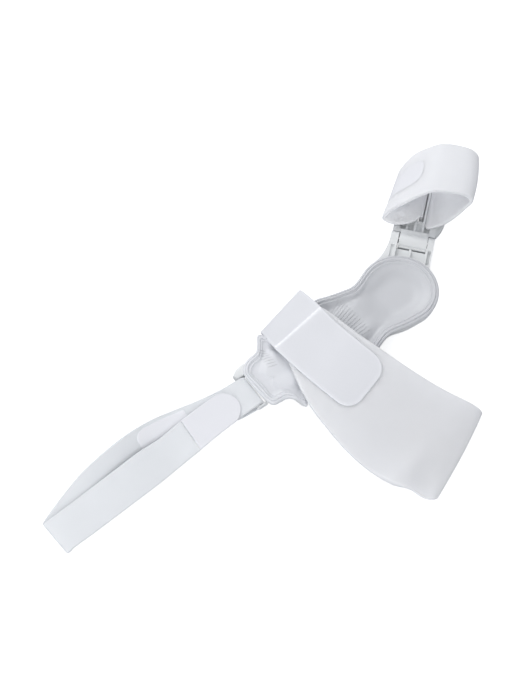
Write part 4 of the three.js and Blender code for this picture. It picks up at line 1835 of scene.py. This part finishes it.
@dataclass
class ToeLoop:
    """Padded band threaded round a rib of the arm, with a hook tab on its outside."""

    hinge: Hinge
    thickness: float = 2.2
    width: float = 33.0
    near: float = 9.8
    lean: float = 0.4
    lean_from: float = 8.0
    taper: float = 0.94
    taper_from: float = 9.2
    middle: float = -4.65
    edge: float = 1.0
    gather_height: float = 0.32
    gather_pitch: float = 3.4
    gather_reach: float = 5.0
    lobe_reach: tuple[float, float] = (1.5, 11.0)
    tab_thickness: float = 0.3
    tab_rows: tuple[float, float] = (7.34, 10.1)
    tab_shares: tuple[float, float] = (0.3, 0.78)
    tab_edge: float = 2.4
    tab_mark: float = 0.3
    tab_round: float = 7.0
    sink: float = 0.25

    # Relief of the wall as (row, reach in rows, size): where the near edge gathers, the soft lobes
    # beside the slots, and the sides, which swell outwards where the size is negative.
    GATHERS = ((5.6, 1.1, 1.0), (17.6, 0.7, 0.7))
    LOBES = ((5.7, 1.1, 2.2), (17.0, 0.9, 1.3))
    SIDES = ((8.7, 1.1, 0.1), (14.0, 1.4, -1.2))
    # Middle of the band's wall looking along the arm: across to its left, up, and how far the near
    # edge stands back.
    LOOP = (
        (-4.65, 2.4, 4.0),
        (-2.7, 3.3, 5.0),
        (-2.25, 5.2, 8.5),
        (-2.1, 7.6, 9.0),
        (-0.2, 9.2, 4.5),
        (4.8, 10.2, -0.4),
        (12.5, 8.9, -1.2),
        (19.0, 10.2, -0.7),
        (16.2, 15.2, 0.0),
        (9.4, 21.3, 0.0),
        (1.8, 27.6, 0.0),
        (-6.0, 32.4, 0.0),
        (-17.0, 34.0, 0.0),
        (-24.6, 33.2, 0.4),
        (-28.2, 30.2, 0.8),
        (-25.6, 23.4, 2.6),
        (-20.4, 15.0, 3.8),
        (-15.2, 9.4, 4.0),
        (-10.2, 8.7, 1.4),
        (-7.0, 8.2, 0.4),
        (-6.55, 5.2, 5.0),
        (-6.2, 3.3, 4.0),
    )
    # Rows whose far edge leaves the plain taper: how much further along the arm and across it lies.
    FAR_SHIFTS = {
        7: (0.0, -2.1),
        8: (0.4, -1.1),
        9: (3.6, 0.0),
        10: (2.7, 0.0),
        11: (1.7, 0.0),
        12: (0.7, 0.0),
        13: (0.3, 0.0),
    }

    def _edge(self, far: bool) -> Grid:
        """Near or far edge of the band.

        Args:
            far: Whether it is the far one.

        Returns:
            Its points in the hinge's frame.
        """
        points = []
        for row, (across, up, back) in enumerate(self.LOOP):
            x = self.near + self.lean * max(up - self.lean_from, 0)
            if far:
                further, aside = self.FAR_SHIFTS.get(row, (0.0, 0.0))
                share = self.taper if up > self.taper_from else 1
                across = self.middle + (across - self.middle) * share + aside
                points.append((x + self.width + further, across, up))
            else:
                points.append((x + back, across, up))
        return np.array(points)

    def _relief(self, places: WallPlaces) -> Grid:
        """Small gathers at the near edge, soft lobes beside the slots and a full right side.

        Args:
            places: Where the wall's points lie.

        Returns:
            How far each point moves inwards.
        """
        near = np.exp(-places.across / self.gather_reach)
        waves = np.sin(places.run * 2 * math.pi / self.gather_pitch)
        gathers = self.gather_height * near * humps(places.row, self.GATHERS) * waves
        lobes = ease(*self.lobe_reach, places.across) * humps(places.row, self.LOBES)
        inner = np.sin(math.pi * np.clip(places.across / self.width, 0, 1))
        return gathers + lobes + inner * humps(places.row, self.SIDES)

    def _under_tab(self, places: WallPlaces) -> Grid:
        """The band's own relief where the tab lies on it."""
        return self._relief(replace(places, across=places.across + self.tab_shares[0] * self.width))

    def build(self, wardrobe: Wardrobe) -> None:
        """Makes the band and its tab.

        Args:
            wardrobe: The finishes.
        """
        low, up = self._edge(False), self._edge(True)
        # The band's inside face is marked, and its finish brightens it as painted light.
        band = StrapWall(
            "toe_loop", low, up, self.thickness, self.edge, closed=True, inner_lit=True, swell=self._relief
        )
        piece = band.build(wardrobe.padded, self.hinge.frame_of)
        settle(piece, Body.TOE, Slot.PADDED, "toe_band")
        tab = StrapWall(
            "toe_hook_tab",
            np.vstack([low, low[:1]]),
            np.vstack([up, up[:1]]),
            self.tab_thickness,
            self.tab_edge,
            first_row=self.tab_rows[0],
            last_row=self.tab_rows[1],
            low_share=self.tab_shares[0],
            up_share=self.tab_shares[1],
            offset=-((self.thickness + self.tab_thickness) / 2 - self.sink),
            end_round=self.tab_round,
            spacing=0.8,
            mark_width=self.tab_mark,
            bed=self._under_tab,
        )
        cover = tab.build(wardrobe.soft_tape, self.hinge.frame_of)
        tab.flat_size()
        settle(cover, Body.TOE, Slot.TAPE, "toe_tab")


# Foot loop


@dataclass
class FootLoop:
    """Wide padded band round the splint's saddle and the hook tab that closes it."""

    turn: float = -69.0
    place: tuple[float, float] = (-55.0, 0.0)
    thickness: float = 2.6
    edge: float = 1.0
    width: float = 60.0
    fold_row: float = 12.0
    fold_bulge: float = 1.1
    bulge_back: float = 0.25
    bulge_reach: float = 0.75
    dent: float = 1.5
    valley: tuple[float, float] = (77.0, 6.0)
    valley_lean: float = 0.16
    valley_pivot: float = -25.0
    valley_from: tuple[float, float] = (-4.0, -32.0)
    lobe_t: tuple[float, float] = (88.0, 6.0)
    lobe_s: tuple[float, float] = (-38.0, 9.0)
    dent_rows: tuple[float, float] = (2.0, 0.6)
    tab_thickness: float = 1.3
    tab_edge: float = 0.5
    tab_mark: float = 2.2
    tab_round: float = 9.6
    groove_inset: float = 1.9
    groove_reach: float = 0.5
    groove_depth: float = 0.3
    border_end: float = 2.9
    border_depth: float = 0.1

    # Stations of the band: its heel edge and its toe edge as (t across the splint, s along it), and z up.
    BAND = (
        ((-22.5, -3.0), (-14.6, 23.6), 8.6),
        ((-18.6, -8.0), (-11.4, 22.4), 11.8),
        ((-13.5, -13.5), (-6.6, 21.4), 13.6),
        ((0.0, -24.0), (3.0, 19.8), 14.1),
        ((15.0, -33.6), (15.0, 18.0), 14.3),
        ((30.0, -39.9), (30.0, 16.8), 13.8),
        ((45.0, -44.7), (45.0, 16.0), 12.4),
        ((60.0, -47.0), (60.0, 16.0), 10.3),
        ((74.0, -46.6), (73.0, 16.6), 8.9),
        ((83.6, -43.4), (81.6, 17.7), 7.9),
        ((90.8, -43.2), (87.0, 18.5), 6.6),
        ((94.8, -41.4), (91.0, 18.8), 5.0),
        ((96.4, -38.2), (92.4, 18.6), 3.2),
        ((95.0, -39.4), (91.0, 19.0), 1.7),
        ((80.0, -38.6), (76.0, 15.0), 1.6),
        ((45.0, -34.0), (45.0, 12.5), 1.6),
        ((15.0, -22.0), (15.0, 14.0), 1.6),
        ((-5.0, -17.0), (-5.0, 17.5), 1.6),
        ((-20.0, -8.0), (-20.0, 24.0), 1.6),
    )
    TAB = (
        ((-19.2, -8.2), (-19.2, 23.6), 1.5),
        ((-27.0, -6.0), (-26.5, 27.4), 1.1),
        ((-33.1, -5.7), (-29.8, 29.8), 1.4),
        ((-34.4, -5.5), (-30.6, 30.2), 2.9),
        ((-32.9, -6.4), (-29.2, 29.4), 4.6),
        ((-26.4, -11.1), (-21.0, 25.2), 10.6),
        ((-20.2, -14.8), (-12.8, 21.0), 15.5),
        ((-19.0, -15.6), (-11.3, 20.2), 16.35),
        ((-17.6, -16.0), (-9.8, 19.6), 16.5),
        ((-14.0, -16.8), (-6.6, 18.6), 16.45),
        ((0.0, -19.8), (2.0, 16.4), 16.1),
        ((15.0, -22.6), (15.0, 13.9), 16.1),
        ((26.0, -24.1), (28.4, 11.5), 15.6),
        ((35.9, -25.2), (38.5, 9.8), 14.6),
    )

    @staticmethod
    def _edges(rows: Sequence) -> tuple[Grid, Grid]:
        """Heel and toe edges of a table of stations.

        Args:
            rows: The stations.

        Returns:
            Both edges' points in the loop's own frame.
        """
        low = np.array([(*heel, z) for heel, _, z in rows])
        up = np.array([(*toe, z) for _, toe, z in rows])
        return low, up

    def _dents(self, places: WallPlaces) -> Grid:
        """Soft valley and lobe near the fold's heel corner, on the upper layer alone, and a full fold.

        Args:
            places: Where the wall's points lie.

        Returns:
            How far each point moves inwards.
        """
        t, s = places.middle[..., 0], places.middle[..., 1]
        leaning = t - self.valley_lean * (s - self.valley_pivot)
        valley = hump(leaning, *self.valley) * ease(*self.valley_from, s)
        lobe = hump(t, *self.lobe_t) * hump(s, *self.lobe_s)
        fades, gone = (self.fold_row - rows for rows in self.dent_rows)
        upper = 1 - ease(fades, gone, places.row)
        middle = np.sin(math.pi * np.clip(places.across / self.width, 0, 1))
        bulge = middle * hump(places.row, self.fold_row - self.bulge_back, self.bulge_reach)
        return upper * self.dent * (lobe - valley) - self.fold_bulge * bulge

    def _welded_border(self, places: WallPlaces) -> Grid:
        """Pressed border of the tab, with a groove just inside it.

        Args:
            places: Where the wall's points lie.

        Returns:
            How far each point of the upper face rises.
        """
        groove = self.groove_depth * hump(places.margin, self.groove_inset, self.groove_reach)
        border = self.border_depth * (1 - ease(self.groove_inset, self.border_end, places.margin))
        return -groove - border

    def build(self, wardrobe: Wardrobe) -> None:
        """Makes the band and its tab.

        Args:
            wardrobe: The finishes.
        """
        at = rotation_z(self.turn, *self.place)
        band = StrapWall("foot_loop", *self._edges(self.BAND), self.thickness, self.edge, swell=self._dents)
        piece = band.build(wardrobe.padded, at)
        settle(piece, Body.SPLINT, Slot.PADDED, "foot_band")
        tab = StrapWall(
            "foot_hook_tab",
            *self._edges(self.TAB),
            self.tab_thickness,
            self.tab_edge,
            end_round=self.tab_round,
            spacing=0.7,
            mark_width=self.tab_mark,
            crown=self._welded_border,
        )
        cover = tab.build(wardrobe.tape, at)
        tab.flat_size()
        settle(cover, Body.SPLINT, Slot.TAPE, "foot_tab")


# Heel loop


@dataclass
class HeelLoop:
    """Narrow webbing loop from the bar, with its hook tab, patch and seams."""

    STRAP_ORIGIN = -103.0

    shell: SplintShell
    thickness: float = 1.5
    edge: float = 0.6
    start_edge: float = 0.12
    strap_half: float = 9.4
    strap_middle: float = 1.3
    gap: float = 0.3
    selvedge: tuple[float, float] = (0.6, 1.6)
    selvedge_depth: float = 0.08
    tab_thickness: float = 1.3
    tab_edge: float = 0.5
    tab_round: float = 9.4
    patch_thickness: float = 0.5
    patch_edge: float = 0.3
    patch_rows: tuple[float, float] = (1.7, 3.75)
    patch_shares: tuple[float, float] = (0.08, 0.9)
    patch_round: float = 5.0
    patch_sink: float = 0.2
    seam_row: float = 0.14
    seam_shares: tuple[float, float] = (0.07, 0.93)
    seam_points: int = 24
    seam_lift: float = 0.02

    # Stations of the strap: its upper and its lower edge as (t away from the origin, y, z).
    STRAP = (
        ((38.2, 8.8, 9.9), (38.2, -10.4, 7.0)),
        ((52.0, 7.2, 9.3), (52.0, -11.0, 4.4)),
        ((67.0, 6.8, 10.2), (67.0, -12.1, 3.0)),
        ((84.0, 5.8, 9.2), (84.0, -13.3, 2.9)),
        ((108.0, 4.8, 6.6), (107.4, -14.9, 3.0)),
        ((125.2, 4.2, 5.0), (123.4, -15.9, 3.2)),
        ((127.6, 4.5, 4.2), (125.2, -15.9, 2.0)),
        ((125.6, 6.0, 3.6), (123.4, -15.5, 1.0)),
        ((110.4, 11.6, 5.4), (110.0, -9.3, 1.0)),
        ((98.0, 14.5, 9.2), (98.0, -4.8, 1.1)),
        ((82.0, 16.2, 13.0), (82.0, 0.0, 1.2)),
        ((67.0, 17.0, 14.8), (67.0, 2.3, 1.3)),
        ((52.0, 17.4, 13.0), (52.0, 1.6, 1.3)),
        ((37.0, 16.4, 9.4), (37.0, -2.4, 2.9)),
        ((24.0, 13.6, 9.4), (24.0, -6.4, 7.2)),
        ((11.0, 11.6, 9.9), (11.0, -8.3, 9.5)),
    )
    SEWN_END = (((5.0, 10.7, 5.7), (5.0, -8.1, 5.7)), ((12.0, 10.9, 7.4), (12.0, -8.0, 7.1)))
    TAB = (
        ((38.1, 8.8, 10.0), (38.1, -10.4, 7.15)),
        ((26.0, 9.4, 10.9), (26.0, -9.7, 9.3)),
        ((16.4, 9.8, 11.3), (16.4, -9.4, 10.6)),
        ((6.4, 9.8, 11.5), (6.4, -9.2, 11.1)),
    )

    def _edges(self, rows: Sequence) -> tuple[Grid, Grid]:
        """Lower and upper edges of a table of stations."""
        ups, lows = ([(self.STRAP_ORIGIN - t, y, z) for t, y, z in edge] for edge in zip(*rows))
        return np.array(lows), np.array(ups)

    def _bar_turn(self) -> list:
        """Turn of the strap round the bar.

        Returns:
            Its stations, from on top of the bar to below it.
        """
        radius = self.shell.bar_radius + self.gap + self.thickness / 2
        rows = []
        for degrees in (90, 45, 0, -45, -90):
            turn = math.radians(degrees)
            z = self.shell.bar_height + radius * math.sin(turn)
            t = self.STRAP_ORIGIN - self.shell.bar_x - radius * math.cos(turn)
            halves = (self.strap_half, -self.strap_half)
            rows.append(tuple((t, self.strap_middle + half, z) for half in halves))
        return rows

    def _pressed_edge(self, places: WallPlaces) -> Grid:
        """Slightly thinner woven edges."""
        return -self.selvedge_depth * (1 - ease(*self.selvedge, places.margin))

    def build(self, wardrobe: Wardrobe, stitches: StitchTree) -> None:
        """Makes the strap, its tab, its patch and the seam.

        Args:
            wardrobe: The finishes.
            stitches: The tree that sews the seam.
        """
        strap = StrapWall(
            "heel_webbing",
            *self._edges([*self.STRAP, *self._bar_turn(), *self.SEWN_END]),
            self.thickness,
            self.edge,
            start_edge=self.start_edge,
            spacing=0.9,
            crown=self._pressed_edge,
        )
        piece = strap.build(wardrobe.webbing)
        strap.flat_size()
        settle(piece, Body.SPLINT, Slot.WEBBING, "heel_strap")
        tab = StrapWall(
            "heel_hook_tab",
            *self._edges(self.TAB),
            self.tab_thickness,
            self.tab_edge,
            start_edge=self.start_edge,
            end_round=self.tab_round,
            spacing=0.7,
        )
        cover = tab.build(wardrobe.soft_tape)
        tab.flat_size()
        settle(cover, Body.SPLINT, Slot.TAPE, "heel_tab")
        patch = StrapWall(
            "heel_loop_patch",
            *self._edges(self.STRAP[::-1]),
            self.patch_thickness,
            self.patch_edge,
            first_row=self.patch_rows[0],
            last_row=self.patch_rows[1],
            low_share=self.patch_shares[0],
            up_share=self.patch_shares[1],
            offset=(self.thickness + self.patch_thickness) / 2 - self.patch_sink,
            end_round=self.patch_round,
            spacing=0.8,
        )
        # The patch's finish is paler partly by painted light.
        pad = patch.build(wardrobe.pile_with_painted_light)
        patch.flat_size()
        settle(pad, Body.SPLINT, Slot.TAPE, "heel_patch")
        seam = stitches.sew("heel_seam", self._seam_line(tab), wardrobe.thread)
        settle(seam, Body.SPLINT, Slot.TAPE)

    def _seam_line(self, tab: StrapWall) -> Grid:
        """Line of stitches across the tab near its straight end.

        Args:
            tab: The tab.

        Returns:
            The line's points.
        """
        shares = np.linspace(*self.seam_shares, self.seam_points)[None]
        row = np.array([self.seam_row])
        lift = self.tab_thickness / 2 + self.seam_lift
        return (tab.points(row, shares) + tab.sides(row, shares) * lift)[0]


# Studio


@dataclass
class Studio:
    """Pale floor, soft light and the camera at the photograph's angle."""

    lens: float = 65.0
    sensor: float = 36.0
    nearest: float = 0.01
    target: tuple[float, float, float] = (-77.2, 22.2, 0.0)
    place: tuple[float, float, float] = (-272.1, -246.9, 625.0)
    floor_size: float = 6.0
    floor_drop: float = 0.3
    floor_glow: float = 0.75
    floor_colour: tuple[float, float, float] = (0.64, 0.65, 0.67)
    floor_roughness: float = 0.9
    sky_colour: tuple[float, float, float] = (0.97, 0.985, 1.02)
    sky_strength: float = 0.5

    # Soft lights: place and size in metres, power in watts.
    LIGHTS = (
        {"name": "key", "place": (0.22, 1.0, 0.84), "size": 0.8, "power": 8.0},
        {"name": "top", "place": (-0.3, -0.15, 1.35), "size": 1.2, "power": 1.0},
        {"name": "fill", "place": (-0.95, -0.48, 0.6), "size": 1.0, "power": 3.2},
        {"name": "low", "place": (-0.7, -0.62, 0.34), "size": 0.7, "power": 2.1},
    )

    def build(self) -> None:
        """Sets the stage."""
        self._floor()
        self._camera()
        self._lights()

    def _floor(self) -> None:
        """Plain pale floor under the splint."""
        half = self.floor_size / 2 / MM
        corners = ((-half, -half), (half, -half), (half, half), (-half, half))
        floor = mesh_object("floor", [(x, y, -self.floor_drop) for x, y in corners], [(0, 1, 2, 3)])
        made, pad, shader = Finish("pale_floor", self.floor_colour, self.floor_roughness).start()
        shader.inputs["Base Color"].default_value = (*self.floor_colour, 1.0)
        shader.inputs["Emission Color"].default_value = (1.0, 1.0, 1.0, 1.0)
        seen = pad.add("ShaderNodeLightPath").outputs["Is Camera Ray"]
        pad.tree.links.new(pad.math("MULTIPLY", seen, self.floor_glow), shader.inputs["Emission Strength"])
        dress(floor, made)

    def _camera(self) -> None:
        """Camera above the heel end, as in the photograph."""
        data = bpy.data.cameras.new("camera")
        data.lens = self.lens
        data.sensor_width = self.sensor
        data.clip_start = self.nearest
        bpy.context.scene.camera = self._aim("camera", data, Vector(self.place) * MM)

    def _lights(self) -> None:
        """Even sky and soft lights."""
        world = bpy.data.worlds.new("studio")
        world.use_nodes = True
        sky = world.node_tree.nodes["Background"]
        sky.inputs["Color"].default_value = (*self.sky_colour, 1.0)
        sky.inputs["Strength"].default_value = self.sky_strength
        bpy.context.scene.world = world
        bpy.context.scene.view_settings.view_transform = "Standard"
        for row in self.LIGHTS:
            data = bpy.data.lights.new(row["name"], "AREA")
            data.size = row["size"]
            data.energy = row["power"]
            self._aim(row["name"], data, Vector(row["place"]))

    def _aim(self, name: str, data: bpy.types.ID, place: Vector) -> bpy.types.Object:
        """Places a camera or a light so that it looks at the target.

        Args:
            name: Its name.
            data: The camera or light.
            place: Where it stands, in metres.

        Returns:
            Its object.
        """
        made = bpy.data.objects.new(name, data)
        bpy.context.scene.collection.objects.link(made)
        made.location = place
        made.rotation_euler = (Vector(self.target) * MM - place).to_track_quat("-Z", "Y").to_euler()
        return made


def main() -> None:
    """Builds every piece of the splint and the studio round it."""
    logging.basicConfig(level=logging.INFO, format="%(name)s %(message)s")
    Studio().build()
    wardrobe = Wardrobe.make()
    stitches = StitchTree()
    form, hinge = SplintForm(), Hinge()
    shell = SplintShell(form, hinge)
    shell.build(wardrobe)
    GelLiner(form).build(wardrobe)
    hinge.pin(wardrobe)
    ToeArm(hinge).build(wardrobe)
    ToeLoop(hinge).build(wardrobe)
    FootLoop().build(wardrobe)
    HeelLoop(shell).build(wardrobe, stitches)


if __name__ == "__main__":
    main()
